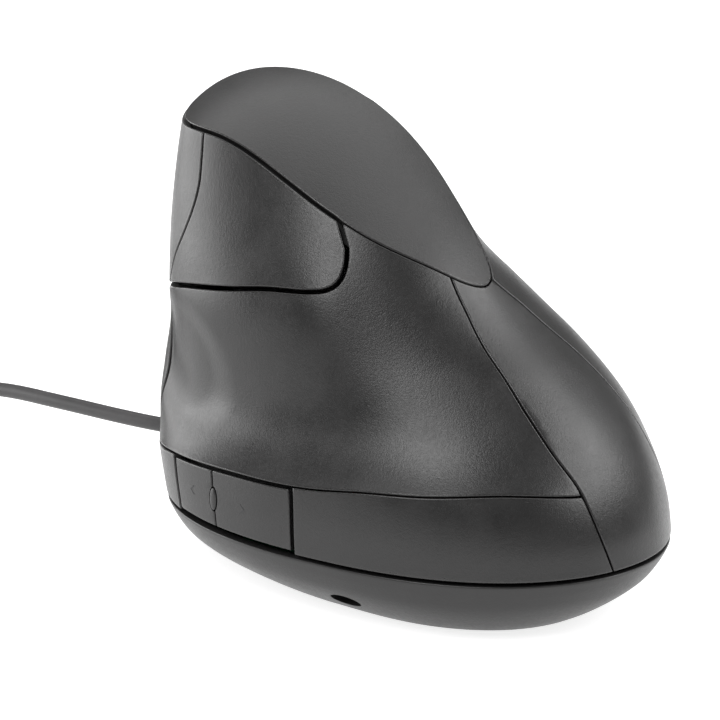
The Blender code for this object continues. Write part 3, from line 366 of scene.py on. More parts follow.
def crease_normal(uv, own):
    """The skin's normal on the far side of the crease along the thumb rest's foot."""
    above, below = normals(skin, uv + [0, 1.0]), normals(skin, uv - [0, 1.0])
    nearer = np.sum(above * own, axis=1) > np.sum(below * own, axis=1)
    return np.where(nearer[:, None], below, above)


def cap_normal(uv, at):
    return normals(cap, at[:, :2])


def skin_normal(uv, at):
    """The skin's normal below points of the top cover's edge."""
    angles = np.arange(0, 360, 1.0)
    x, y = outline_point(angles, rim(angles))
    flat = np.stack([x, y], 1)
    nearest = np.linalg.norm(flat[None] - at[:, None, :2], axis=2).argmin(axis=1)
    angle = angles[nearest]
    return normals(skin, np.stack([angle, rim(angle)], 1))




def trimmed(surface, ring, before, after, mitre):
    """The outline moved in by its gaps, without the points that a sharp corner would throw across it."""
    old, moved = surface(ring), moved_in(surface, ring, before, after)
    at = surface(moved)
    a, b = old, np.roll(old, -1, axis=0)
    along = b - a
    keep = []
    for p in at:
        t = np.clip(np.sum((p - a) * along, axis=1) / np.sum(along * along, axis=1), 0, 1)
        clear = np.linalg.norm(a + along * t[:, None] - p, axis=1) - 0.9 * after
        keep.append(clear.min() > -0.01)
    keep = np.array(keep)
    return moved[keep], mitre[keep]


def soft_edge(surface, ring, radius):
    """The outline drawn in along the surface by an edge radius, less where the panel runs to a point."""
    at = surface(ring)
    count = len(ring)
    index = np.arange(count)
    steps = np.abs(index[:, None] - index[None])
    steps = np.minimum(steps, count - steps)
    apart = np.linalg.norm(at[:, None] - at[None], axis=2)
    across = np.where((steps > 2) & (steps * STEP > 1.6 * apart), apart, 99.0)
    gaps = np.minimum(radius, 0.3 * across.min(axis=1))
    gaps = np.minimum(gaps, np.minimum(np.roll(gaps, 1), np.roll(gaps, -1)) + 0.1)
    return moved_in(surface, ring, gaps, gaps)


def panel_mesh(surface, other, edges, step, scale, thick, radius):
    """A curved shell with rounded edges. Returns points, normals, distance to the edge, and faces."""
    ring, mitre = trimmed(surface, *ring_of(surface, edges, step))
    top = soft_edge(surface, ring, radius)
    count = len(ring)
    uv, faces = filled(top * [scale, 1], step)
    uv = uv / [scale, 1]
    at, n = surface(uv), normals(surface, uv)
    edge_at, edge_n = surface(ring), normals(surface, ring)
    lean = np.zeros((count, 3))
    for kind, m in ((AT_RIM, other(ring, edge_at)), (AT_CREASE, crease_normal(ring, edge_n))):
        both = (edge_n + m) / (1 + np.sum(edge_n * m, axis=1))[:, None]
        lean[mitre == kind] = thick * (edge_n - both)[mitre == kind]
    parts = np.array_split(at, len(at) // 2000 + 1)
    gap = np.concatenate([np.linalg.norm(part[:, None] - edge_at[None], axis=2) for part in parts])
    nearest, away = gap.argmin(axis=1), gap.min(axis=1)
    weight = np.clip(1 - away / (6 * thick), 0, 1)
    inner = at - thick * n + lean[nearest] * weight[:, None]
    out = edge_at - at[:count]
    out /= np.maximum(np.linalg.norm(out, axis=1), 1e-9)[:, None]
    low = lean * (radius / thick)
    levels, level_n = [], []
    for turn in (22.5, 45, 67.5, 90):
        t = math.radians(turn)
        across = (edge_at - at[:count]) * math.sin(t)
        levels.append(at[:count] + across + (low - edge_n * radius) * (1 - math.cos(t)))
        level_n.append(edge_n * math.cos(t) + out * math.sin(t))
    rim_low = edge_at - thick * edge_n + lean
    size = len(at)
    points = np.concatenate([at] + levels + [rim_low, inner])
    shade = np.concatenate([n] + level_n + [level_n[-1], -n])
    tris = [tuple(f) for f in faces]
    first_inner = size + 5 * count
    tris += [tuple(first_inner + i for i in reversed(f)) for f in faces]
    starts = [0] + [size + k * count for k in range(5)] + [first_inner]
    for a, b in zip(starts, starts[1:]):
        tris += [(b + k, b + (k + 1) % count, a + (k + 1) % count, a + k) for k in range(count)]
    # Distance to the panel edge, read by the material for its painted edge highlight and its edge polish.
    distance_to_edge = np.concatenate([away] + [np.zeros(count)] * 4 + [np.full(count, 9.0), np.full(size, 9.0)])
    return points, shade, distance_to_edge, tris


def to_row(points):
    return (np.asarray(points, float) + [SHIFT_X, SHIFT_Y, 0]) * MM


def link(name, mesh):
    o = bpy.data.objects.new(name, mesh)
    bpy.context.scene.collection.objects.link(o)
    return o


def finished(o, body, material, slot, *nodes):
    """The piece's material, its body, and the CAD nodes that it stands for."""
    o.data.materials.clear()
    o.data.materials.append(material)
    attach(o, body)
    if nodes:
        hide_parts(*nodes)
    return o


def shell_object(name, points, shade, distance_to_edge, faces):
    mesh = bpy.data.meshes.new(name)
    mesh.from_pydata([tuple(p) for p in to_row(points)], [], faces)
    mesh.attributes.new("edge_distance", "FLOAT", "POINT").data.foreach_set("value", distance_to_edge.astype(np.float32))
    mesh.polygons.foreach_set("use_smooth", [True] * len(mesh.polygons))
    length = np.maximum(np.linalg.norm(shade, axis=1), 1e-9)[:, None]
    mesh.normals_split_custom_set_from_vertices([tuple(v) for v in shade / length])
    return link(name, mesh)


def panel(node, edges, body, material, slot, surface=skin, other=cap_normal, scale=DEGREE, cuts=()):
    points, shade, distance_to_edge, faces = panel_mesh(surface, other, edges, STEP, scale, SHELL, EDGE_R)
    o = shell_object(node + "_shell", points, shade, distance_to_edge, faces)
    for cutter in cuts:
        boolean(o, cutter)
    return finished(o, body, material, slot, node)


def boolean(o, cutter, operation="DIFFERENCE"):
    """Cuts or joins at once, and takes the tool away."""
    step = o.modifiers.new(operation.lower(), "BOOLEAN")
    step.operation, step.solver, step.object = operation, "EXACT", cutter
    step.use_self = o.name.startswith("thumb_button")
    graph = bpy.context.evaluated_depsgraph_get()
    made = bpy.data.meshes.new_from_object(o.evaluated_get(graph))
    o.modifiers.remove(step)
    o.data = made
    bpy.data.objects.remove(cutter, do_unlink=True)


def closed_mesh(name, points, faces, place=None):
    mesh = bpy.data.meshes.new(name)
    at = np.asarray(points, float)
    if place is not None:
        m = np.array(place)
        at = at @ m[:3, :3].T + m[:3, 3]
    mesh.from_pydata([tuple(p) for p in to_row(at)], [], faces)
    work = bmesh.new()
    work.from_mesh(mesh)
    bmesh.ops.recalc_face_normals(work, faces=work.faces)
    work.to_mesh(mesh)
    work.free()
    return mesh


def loft_faces(size, rings, first=0, ends=True):
    """Faces through rings of size points each, with flat ends or open."""
    faces = [tuple(range(first, first + size))] if ends else []
    for k in range(rings - 1):
        a, b = first + k * size, first + (k + 1) * size
        faces += [(a + i, a + (i + 1) % size, b + (i + 1) % size, b + i) for i in range(size)]
    if ends:
        faces.append(tuple(range(first + (rings - 1) * size, first + rings * size)))
    return faces


def prism(name, outline, low, high, place=None):
    count = len(outline)
    points = [(x, y, z) for z in (low, high) for x, y in outline]
    return link(name, closed_mesh(name, points, loft_faces(count, 2), place))


def block(name, low, high, place=None):
    corners = [(low[0], low[1]), (high[0], low[1]), (high[0], high[1]), (low[0], high[1])]
    return prism(name, corners, low[2], high[2], place)


def oval(x, y, rx, ry, count=48):
    turns = [2 * math.pi * k / count for k in range(count)]
    return [(x + rx * math.cos(t), y + ry * math.sin(t)) for t in turns]


def turned(name, profile, place=None, count=64, x=0.0, y=0.0):
    """A profile of (radius, height) turned round a line along Z; it starts and ends on the line."""
    inner = profile[1:-1]
    points = [(x, y, profile[0][1])]
    for r, z in inner:
        points += [(px, py, z) for px, py in oval(x, y, r, r, count)]
    points.append((x, y, profile[-1][1]))
    faces = [(0, 1 + (k + 1) % count, 1 + k) for k in range(count)]
    faces += loft_faces(count, len(inner), 1, False)
    last = 1 + (len(inner) - 1) * count
    faces += [(last + k, last + (k + 1) % count, len(points) - 1) for k in range(count)]
    return link(name, closed_mesh(name, points, faces, place))


def smooth_by_angle(o, degrees=35):
    mesh = o.data
    mesh.polygons.foreach_set("use_smooth", [True] * len(mesh.polygons))
    mesh.set_sharp_from_angle(angle=math.radians(degrees))


def place_at(origin, x_axis, y_axis, z_axis):
    """A 4x4 place in millimetres."""
    m = np.eye(4)
    for k, axis in enumerate((x_axis, y_axis, z_axis)):
        m[:3, k] = axis
    m[:3, 3] = origin
    return m


def flank_places():
    """Z outwards for the finger side's flank, and Z up the flank for the wheel."""
    lean = math.radians(FLANK_LEAN)
    out = np.array([math.cos(lean), 0, math.sin(lean)])
    up = np.array([-math.sin(lean), 0, math.cos(lean)])
    ahead = np.array([0.0, 1, 0])
    return place_at(FLANK_POINT, ahead, up, out), place_at(FLANK_POINT - out * WHEEL_DEPTH, out, ahead, up)


NOSE = place_at((0, 48.4, 15), (1, 0, 0), (0, 0, -1), (0, 1, 0))


# Materials ---------------------------------------------------------------------


class Nodes:
    """A short way to write a material's nodes."""

    def __init__(self, name):
        self.material = bpy.data.materials.new(name)
        self.material.use_nodes = True
        self.tree = self.material.node_tree
        self.shader = self.tree.nodes["Principled BSDF"]
        self.place = self.tree.nodes.new("ShaderNodeTexCoord").outputs["Object"]

    def add(self, kind, inputs=(), **values):
        node = self.tree.nodes.new("ShaderNode" + kind)
        for key, value in values.items():
            setattr(node, key, value)
        for key, value in inputs:
            if isinstance(value, bpy.types.NodeSocket):
                self.tree.links.new(value, node.inputs[key])
            else:
                node.inputs[key].default_value = value
        return node

    def noise(self, size, detail=2.0, roughness=0.5):
        """Noise with features about size millimetres wide."""
        scale = 1 / (size * MM)
        inputs = (("Vector", self.place), ("Scale", scale), ("Detail", detail), ("Roughness", roughness))
        return self.add("TexNoise", inputs).outputs["Fac"]

    def ramp(self, value, low, high, start=0.3, stop=0.7):
        """value from start to stop mapped to low and high."""
        ends = (("From Min", start), ("From Max", stop), ("To Min", low), ("To Max", high))
        return self.add("MapRange", (("Value", value), *ends)).outputs["Result"]

    def mix(self, share, a, b):
        """Colour a where share is 0 and b where it is 1."""
        node = self.add("Mix", data_type="RGBA")
        for key, value in ((0, share), (6, a), (7, b)):
            if isinstance(value, bpy.types.NodeSocket):
                self.tree.links.new(value, node.inputs[key])
            else:
                node.inputs[key].default_value = (*value, 1) if key else value
        return node.outputs[2]

    def math(self, operation, a, b=0.0):
        return self.add("Math", ((0, a), (1, b)), operation=operation).outputs[0]

    def bump(self, height, depth, strength=1.0):
        inputs = (("Height", height), ("Distance", depth * MM), ("Strength", strength))
        self.link("Normal", self.add("Bump", inputs).outputs["Normal"])

    def link(self, name, socket):
        self.tree.links.new(socket, self.shader.inputs[name])

    def set(self, **values):
        for key, value in values.items():
            self.shader.inputs[key.replace("_", " ")].default_value = value
        return self


def grained_plastic(name, dark, light, rough, grain=0.16, depth=0.012, edge_highlight_share=None):
    """Moulded plastic: fine spark-eroded grain, faint blotches, edges polished by handling (lower roughness),
    and a painted highlight that lightens the colour along panel edges.
    """
    n = Nodes(name)
    blotch = n.noise(7.0, 3.0)
    fine = n.noise(grain, 2.0, 0.6)
    coarse = n.noise(grain * 2.7, 1.0)
    colour = n.mix(n.ramp(blotch, 0.0, 1.0), dark, light)
    speck = n.ramp(fine, 0.0, 0.35, 0.5, 0.8)
    colour = n.mix(speck, colour, tuple(1.35 * c for c in light))
    patch = n.ramp(blotch, rough - 0.035, rough + 0.035)
    grainy = n.math("ADD", patch, n.ramp(coarse, -0.03, 0.03))
    if edge_highlight_share:
        away = n.add("Attribute", attribute_name="edge_distance", attribute_type="GEOMETRY").outputs["Fac"]
        # Painted highlight: the colour is lightened within about half a millimetre of a panel edge; the lower
        # roughness below is real polish from handling.
        share = n.ramp(away, edge_highlight_share, 0.0, 0.0, 0.55)
        colour = n.mix(share, colour, tuple(2.1 * c for c in light))
        grainy = n.math("SUBTRACT", grainy, n.ramp(away, 0.12, 0.0, 0.0, 0.7))
    n.link("Base Color", colour)
    n.link("Roughness", grainy)
    n.bump(n.math("ADD", fine, n.math("MULTIPLY", coarse, 0.6)), depth)
    return n.material


def brushed(name, colour, rough, grain=0.2):
    n = Nodes(name).set(Metallic=1.0)
    wide, fine = n.noise(2.4, 3.0), n.noise(grain, 2.0)
    n.link("Base Color", n.mix(n.ramp(wide, 0.0, 1.0), colour, tuple(0.8 * c for c in colour)))
    n.link("Roughness", n.ramp(fine, rough - 0.08, rough + 0.1))
    n.bump(fine, 0.006)
    return n.material


def circuit(name):
    """Green solder mask over faint copper tracks, with tinned pads."""
    n = Nodes(name)
    cells = n.add("TexVoronoi", (("Vector", n.place), ("Scale", 1 / (2.2 * MM))), distance="CHEBYCHEV")
    tracks = n.ramp(cells.outputs["Distance"], 0.0, 1.0, 0.42, 0.46)
    mask = n.mix(tracks, (0.008, 0.075, 0.03), (0.015, 0.13, 0.05))
    pads = n.add("TexVoronoi", (("Vector", n.place), ("Scale", 1 / (3.1 * MM))), distance="EUCLIDEAN")
    n.link("Base Color", n.mix(n.ramp(pads.outputs["Distance"], 1.0, 0.0, 0.1, 0.13), mask, (0.5, 0.5, 0.48)))
    n.link("Roughness", n.ramp(n.noise(1.2), 0.25, 0.4))
    n.bump(tracks, 0.02)
    return n.material


def clear_plastic(name, colour):
    n = Nodes(name).set(Transmission_Weight=0.85, IOR=1.49)
    n.link("Base Color", n.mix(n.ramp(n.noise(1.5), 0.0, 1.0), colour, tuple(0.92 * c for c in colour)))
    n.link("Roughness", n.ramp(n.noise(0.4, 3.0), 0.04, 0.12))
    return n.material


# The shell and key looks carry the painted edge highlight (0.32 at the edge); the base look has none.
SHELL_LOOK = grained_plastic("soft_matte_shell", SHELL_DARK, SHELL_LIGHT, SHELL_ROUGH, 0.24, 0.035, 0.32)
KEY_LOOK = grained_plastic("soft_matte_key", SHELL_DARK, SHELL_LIGHT, SHELL_ROUGH + 0.02, 0.24, 0.035, 0.32)
BASE_LOOK = grained_plastic("base_plastic", SHELL_DARK, SHELL_LIGHT, SHELL_ROUGH + 0.03, 0.24, 0.03)
FOOT_LOOK = grained_plastic("glide_foot_plastic", (0.006,) * 3, (0.012,) * 3, 0.3, 0.3, 0.004)
CORD_LOOK = grained_plastic("cord_jacket", (0.03, 0.029, 0.03), (0.042, 0.04, 0.041), 0.5, 0.3, 0.015)
PLUG_LOOK = grained_plastic("plug_plastic", (0.013, 0.013, 0.013), (0.02, 0.02, 0.02), 0.42, 0.25, 0.01)
# Painted shade: the ribs behind the gaps are coloured far darker and rougher than the shell plastic, so that
# the gaps read as black shadow.
LIP_SHADE_LOOK = grained_plastic("inner_lip_painted_shade", (0.0025, 0.0025, 0.0025), (0.004, 0.004, 0.004), 0.8)
MARK_LOOK = grained_plastic("mark_paint", (0.012, 0.012, 0.013), (0.02, 0.02, 0.021), 0.55, 0.12, 0.004)
LOOKS = {
    "shell_plastic": BASE_LOOK,
    "button_plastic": BASE_LOOK,
    "glide_foot": FOOT_LOOK,
    "circuit_board": circuit("green_circuit_board"),
    "chip_epoxy": grained_plastic("chip_epoxy", (0.011, 0.011, 0.012), (0.02, 0.02, 0.022), 0.45, 0.1, 0.006),
    "connector_plastic": grained_plastic(
        "connector_nylon", (0.6, 0.57, 0.48), (0.7, 0.67, 0.58), 0.45, 0.3, 0.005
    ),
    "capacitor_can": brushed("capacitor_sleeve", (0.12, 0.14, 0.24), 0.35),
    "lamp_epoxy": clear_plastic("lamp_epoxy", (0.8, 0.08, 0.05)),
    "clear_lens": clear_plastic("clear_lens", (0.9, 0.93, 0.95)),
    "plated_steel": brushed("plated_steel", (0.62, 0.61, 0.6), 0.28),
    "screw_steel": brushed("screw_steel", (0.5, 0.5, 0.49), 0.35),
    "inner_plastic": grained_plastic("inner_plastic", (0.05, 0.05, 0.052), (0.07, 0.07, 0.072), 0.55),
    "switch_case": grained_plastic("switch_case", (0.015, 0.015, 0.017), (0.025, 0.025, 0.028), 0.5),
    "plunger_plastic": grained_plastic("plunger_plastic", (0.45, 0.05, 0.035), (0.6, 0.09, 0.06), 0.45),
    "wheel_plastic": grained_plastic("wheel_plastic", (0.04, 0.04, 0.042), (0.06, 0.06, 0.062), 0.42),
    "wheel_rubber": grained_plastic(
        "wheel_rubber", (0.016, 0.016, 0.017), (0.024, 0.024, 0.025), 0.72, 0.22, 0.02
    ),
    "ribbon_vinyl": grained_plastic("ribbon_vinyl", (0.4, 0.4, 0.41), (0.5, 0.5, 0.51), 0.5, 0.4, 0.006),
    "cord_vinyl": CORD_LOOK,
}


# Camera, floor and light -------------------------------------------------------


def camera():
    """From the rear left of the thumb side, a little above, as a long lens sees it."""
    side, height = math.radians(CAMERA_SIDE), math.radians(CAMERA_HEIGHT)
    back = Vector((math.sin(side) * math.cos(height), -math.cos(side) * math.cos(height), math.sin(height)))
    right = Vector((math.cos(side), math.sin(side), 0))
    up = back.cross(right)
    target = Vector(to_row((0, 0, 12)))
    eye = target + back * CAMERA_DISTANCE
    look = target + right * CAMERA_AIM[0] * MM + up * CAMERA_AIM[1] * MM
    data = bpy.data.cameras.new("camera")
    data.lens, data.sensor_width = CAMERA_LENS, 36
    data.clip_start, data.clip_end = 0.05, 20
    o = bpy.data.objects.new("camera", data)
    o.location = eye
    o.rotation_euler = (look - eye).to_track_quat("-Z", "Y").to_euler()
    bpy.context.scene.collection.objects.link(o)
    bpy.context.scene.camera = o


def soft_box(name, azimuth, height, distance, size, radiance):
    """An area light that faces the mouse from a direction, with an even brightness."""
    a, h = math.radians(azimuth), math.radians(height)
    aim = Vector((0, 0, 0.04))
    data = bpy.data.lights.new(name, "AREA")
    data.shape, data.size, data.size_y = "RECTANGLE", size[0], size[1]
    data.energy = radiance * math.pi * size[0] * size[1]
    o = bpy.data.objects.new(name, data)
    o.location = aim + distance * Vector((math.sin(a) * math.cos(h), math.cos(a) * math.cos(h), math.sin(h)))
    o.rotation_euler = (aim - o.location).to_track_quat("-Z", "Y").to_euler()
    bpy.context.scene.collection.objects.link(o)


def studio():
    mesh = bpy.data.meshes.new("floor")
    s = 6.0
    mesh.from_pydata([(-s, -s, 0), (s, -s, 0), (s, s, 0), (-s, s, 0)], [], [(0, 1, 2, 3)])
    floor = link("floor", mesh)
    floor.location.z = -0.0002
    n = Nodes("pale_floor").set(Roughness=0.6)
    n.link("Base Color", n.mix(n.ramp(n.noise(300.0), 0.0, 1.0), (0.54, 0.54, 0.54), (0.56, 0.56, 0.56)))
    n.shader.inputs["Specular IOR Level"].default_value = 0.2
    n.shader.inputs["Emission Color"].default_value = (1, 1, 1, 1)
    n.shader.inputs["Emission Strength"].default_value = FLOOR_GLOW
    mesh.materials.append(n.material)
    world = bpy.data.worlds.new("studio")
    world.use_nodes = True
    world.node_tree.nodes["Background"].inputs["Color"].default_value = (1, 1, 1, 1)
    world.node_tree.nodes["Background"].inputs["Strength"].default_value = WORLD_LIGHT
    bpy.context.scene.world = world
    bpy.context.scene.view_settings.view_transform = "Standard"
    for light in LIGHTS:
        soft_box(*light)


# Cord --------------------------------------------------------------------------


def along_route(route, spacing):
    p = np.array(route, float)
    chord = np.concatenate([[0], np.cumsum(np.linalg.norm(np.diff(p, axis=0), axis=1))])
    t = np.linspace(0, chord[-1], int(chord[-1] / spacing) + 1)
    return np.stack([curve(list(zip(chord, p[:, k])), t) for k in range(3)], 1)


def round_coil(radius, angle, height):
    return COIL_CENTRE[0] + radius * math.cos(angle), COIL_CENTRE[1] + radius * math.sin(angle), height


def coil_points():
    """The wound length: columns of turns side by side, three layers, then a hump across to the plug."""
    pitch = 2 * CORD_R + 0.1
    columns = [COIL_R + k * pitch for k in (2, 1, 0, -1, -2)]
    turns = [(r, CORD_R + 0.25) for r in columns]
    turns += [(r, CORD_R + 0.25 + pitch * 0.98) for r in columns[::-1]]
    turns += [(r, CORD_R + 0.25 + 2 * pitch * 0.98) for r in columns[1:4]]
    steps, points = 28, []
    for k, (r, z) in enumerate(turns):
        r0, z0 = (COIL_R + 10.6, CORD_R + 0.3) if k == 0 else turns[k - 1]
        for i in range(steps):
            change = min(1.0, i / (9.0 if k else 14.0))
            ease = change * change * (3 - 2 * change)
            angle = math.pi - 2 * math.pi * i / steps
            points.append(round_coil(r0 + (r - r0) * ease, angle, z0 + (z - z0) * ease))
    return points


def to_plug():
    """From the innermost top turn outwards over the coil, then round into the plug's rear."""
    points = []
    for k in range(1, 27):
        t = k / 26
        angle = math.radians(180 - 305 * t)
        climb = min(1.0, t / 0.18)
        radius = COIL_R - 2.9 + 13.9 * max(0.0, (t - 0.12) / 0.88) ** 1.15
        height = 7.34 + 2.86 * climb * climb * (3 - 2 * climb)
        points.append(round_coil(radius, angle, height))
    heading = math.radians(PLUG_TURN)
    ahead, left = (math.cos(heading), math.sin(heading)), (-math.sin(heading), math.cos(heading))
    rear = [PLUG_AT[k] - 17.5 * ahead[k] for k in (0, 1)]
    middle = [rear[k] - PLUG_BEND * left[k] for k in (0, 1)]
    for turn, height in ((95, 10.25), (75, 10.8), (50, 11.9), (25, 13.0), (0, 13.75)):
        t = math.radians(turn)
        points.append((
            *(middle[k] + PLUG_BEND * (left[k] * math.cos(t) - ahead[k] * math.sin(t)) for k in (0, 1)), height,
        ))
    points.append((rear[0] + 3 * ahead[0], rear[1] + 3 * ahead[1], 13.95))
    points.append((rear[0] + 6 * ahead[0], rear[1] + 6 * ahead[1], 13.95))
    return points


def cord():
    start = along_route([(0, 55.6, 15.0)] + CORD_ROUTE[1:-1], 4.0)
    route = [tuple(p) for p in start] + coil_points() + to_plug()
    data = bpy.data.curves.new("cord_tube", "CURVE")
    data.dimensions, data.bevel_depth, data.bevel_resolution = "3D", CORD_R * MM, 4
    data.use_fill_caps = True
    spline = data.splines.new("POLY")
    fine = along_route(route, 1.6)
    spline.points.add(len(fine) - 1)
    for p, q in zip(spline.points, to_row(fine)):
        p.co = (*q, 1)
    spline.use_smooth = True
    o = link("cord_tube", data)
    finished(o, "case", CORD_LOOK, "cord_vinyl", "cord", "cord_coil")
    strain_relief()
    cord_tie()
    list(plug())


def squared(share, power):
    """A sine or cosine with its size raised to a power and its sign kept."""
    return math.copysign(abs(share) ** power, share)


def rounded_box(x, y, z, half, power, rings=24, sides=48, shape=None):
    """A box with soft corners, as stacked superellipses along X; shape scales each section."""
    points = []
    for k in range(rings + 1):
        t = -math.cos(math.pi * k / rings)
        size = (1 - abs(t) ** power) ** (1 / power) if abs(t) < 1 else 0.0
        size *= shape(t) if shape else 1.0
        for i in range(sides):
            a = 2 * math.pi * i / sides
            py = squared(math.cos(a), 2 / power) * half[1] * max(size, 0.02)
            pz = squared(math.sin(a), 2 / power) * half[2] * max(size, 0.02)
            points.append((x + t * half[0], y + py, z + pz))
    return points, loft_faces(sides, rings + 1)


def plug():
    """The moulded grip with its boot, the folded steel shell and the tongue inside it."""
    turn = math.radians(PLUG_TURN)
    ahead, left = (math.cos(turn), math.sin(turn), 0), (-math.sin(turn), math.cos(turn), 0)
    place = place_at(PLUG_AT, ahead, left, (0, 0, 1))

    def waist(t):
        ridge = 0.02 * (math.cos(26 * t) > 0.2) * (-0.55 < t < 0.35)
        return 1 - 0.07 * math.exp(-((t + 0.1) / 0.35) ** 2) + ridge

    points, faces = rounded_box(-0.6, 0, 4, (10.6, 8, 4), 5.0, rings=64, shape=waist)
    grip = link("plug_grip_moulded", closed_mesh("plug_grip_moulded", points, faces, place))
    smooth_by_angle(grip, 40)
    profile = [(0, -18.2), (1.75, -18.2), (2.0, -17.9)]
    for k in range(4):
        x = -17.6 + 1.7 * k
        profile += [(2.05 + 0.12 * k, x), (2.05 + 0.12 * k, x + 0.9), (1.8, x + 1.1), (1.8, x + 1.5)]
    profile += [(2.9, -10.6), (2.9, -9.0), (0, -9.0)]
    along = place @ place_at((0, 0, 4), (0, 0, 1), (0, 1, 0), (1, 0, 0))
    along[:3, 0] = -along[:3, 0]
    boot = turned("plug_boot", profile, along)
    smooth_by_angle(boot, 45)
    outer, inner = superoval(6.0, 2.25, 14), superoval(5.65, 1.9, 14)
    shell = sleeve("plug_shell_folded", outer, inner, (10.1, 22.3), (0, 4), place)
    for y in (-2.6, 2.6):
        window = block("window", (16.2, y - 1.1, 5.0), (18.6, y + 1.1, 8.0), place)
        boolean(shell, window)
    tongue = block("plug_tongue", (10.2, -5.3, 2.35), (21.6, 5.3, 3.9), place)
    edge = tongue.modifiers.new("edge", "BEVEL")
    edge.width, edge.segments = 0.2 * MM, 2
    made = []
    for o, look, nodes in (
        (grip, "cord_vinyl", ("plug_grip",)), (boot, "cord_vinyl", ()),
        (shell, "plated_steel", ("plug_shell",)), (tongue, "connector_plastic", ()),
    ):
        made.append(finished(o, "case", PLUG_LOOK if look == "cord_vinyl" else LOOKS[look], look, *nodes))
    return made


def superoval(half_y, half_z, power, count=64):
    turns = [2 * math.pi * (k + 0.5) / count for k in range(count)]
    return [(half_y * squared(math.cos(t), 2 / power), half_z * squared(math.sin(t), 2 / power)) for t in turns]


def sleeve(name, outer, inner, ends, centre, place):
    """A folded sheet sleeve along X."""
    count, points, faces = len(outer), [], []
    for outline, x in ((outer, ends[0]), (outer, ends[1]), (inner, ends[1]), (inner, ends[0])):
        points += [(x, centre[0] + y, centre[1] + z) for y, z in outline]
    for a, b in ((0, 1), (1, 2), (2, 3), (3, 0)):
        a, b = a * count, b * count
        faces += [(a + k, a + (k + 1) % count, b + (k + 1) % count, b + k) for k in range(count)]
    o = link(name, closed_mesh(name, points, faces, place))
    smooth_by_angle(o, 40)
    return o


def strain_relief():
    """The tapered sleeve at the nose, with shallow flexing grooves."""
    profile = [(0, -5.6), (3.4, -5.6), (3.4, -2.6), (2.3, -2.4), (2.3, 0.6)]
    z = 0.6
    for k in range(4):
        slim = 2.2 - 0.08 * k
        profile += [(slim, z + 0.15), (slim - 0.32, z + 0.4), (slim - 0.32, z + 0.8), (slim - 0.03, z + 1.05)]
        z += 1.75
        profile.append((slim - 0.06, z))
    profile += [(1.85, 8.3), (1.6, 8.6), (0, 8.6)]
    o = turned("strain_relief_sleeve", profile, NOSE)
    smooth_by_angle(o, 50)
    return finished(o, "case", CORD_LOOK, "cord_vinyl", "strain_relief")


def cord_tie():
    """A twist tie round the wound cord, on the side away from the plug."""
    turn = math.radians(-35)
    out = np.array([math.cos(turn), math.sin(turn), 0])
    across = np.array([-math.sin(turn), math.cos(turn), 0])
    middle = np.array([*COIL_CENTRE, 4.75]) + out * COIL_R
    outline = []
    for k in range(40):
        t = 2 * math.pi * k / 40
        outline.append((8.0 * squared(math.cos(t), 0.45), 4.6 * squared(math.sin(t), 0.45)))
    points, faces = [], []
    for x, z in outline:
        for inset, y in ((0, -1.6), (0, 1.6), (0.35, 1.6), (0.35, -1.6)):
            shrink = 1 - inset / 4.6
            points.append(middle + out * x * shrink + across * y + np.array([0, 0, z * shrink]))
    for k in range(40):
        a, b = 4 * k, 4 * ((k + 1) % 40)
        faces += [(a + i, b + i, b + (i + 1) % 4, a + (i + 1) % 4) for i in range(4)]
    o = link("cord_tie", closed_mesh("cord_tie", points, faces))
    smooth_by_angle(o, 50)
    return finished(o, "case", LOOKS["switch_case"], "cord_vinyl")


# Shell panels ------------------------------------------------------------------


def thumb_side():
    half, wide = GAP / 2, WIDE_GAP / 2
    jag = meet(smooth(JAG, 40), CHEEK_TOP)
    cheek_end = meet(smooth(CHEEK_LOWER, 60), CHEEK_END)
    cheek_lower = [JAG[0]] + [p for p in cheek_end if p[0] > JAG[0][0] + 1]
    edges = [
        (cheek_lower, wide, SQUARE),
        (rim_edge(CHEEK_END, CHEEK_TOP), wide, AT_RIM),
        (jag[::-1], half, SQUARE),
    ]
    panel("side_cheek", edges, "case", SHELL_LOOK, "shell_plastic")
    rear_left = meet(smooth(REAR_LEFT, 60), REAR_LEFT_TOP)
    upper = [p for p in rear_left if p[1] > 25.6]
    edges = [
        (smooth(THUMB_FRONT, 40), wide, SQUARE),
        (part_of(CREASE, 27, 158.5, 90), half, AT_CREASE),
        ([(158.5, 25.6)] + upper, half, SQUARE),
        (rim_edge(REAR_LEFT_TOP, CHEEK_END), half, AT_RIM),
        (cheek_end[::-1], wide, SQUARE),
        ([(23, 48.6), (24, 48.6)], wide, SQUARE),
    ]
    panel("thumb_rest", edges, "case", SHELL_LOOK, "shell_plastic")
    lower = [p for p in rear_left if p[1] < 25.6]
    edges = [
        ([(THUMB_KEYS[2], 24.5), (THUMB_KEYS[2], SEAM_Z)], wide, SQUARE),
        ([(THUMB_KEYS[2], SEAM_Z), (162.4, SEAM_Z)], 0, SQUARE),
        (lower + [(158.5, 25.6)], half, SQUARE),
        (part_of(CREASE, 158.5, THUMB_KEYS[2], 60), half, AT_CREASE),
    ]
    panel("left_skirt", edges, "case", SHELL_LOOK, "shell_plastic")


def skin_place(angle, z):
    """A place on the skin with Z outwards and X level."""
    uv = np.array([[float(angle), float(z)]])
    out = normals(skin, uv)[0]
    across = np.cross([0, 0, 1], out)
    across /= np.linalg.norm(across)
    return place_at(skin(uv)[0], across, np.cross(out, across), out)


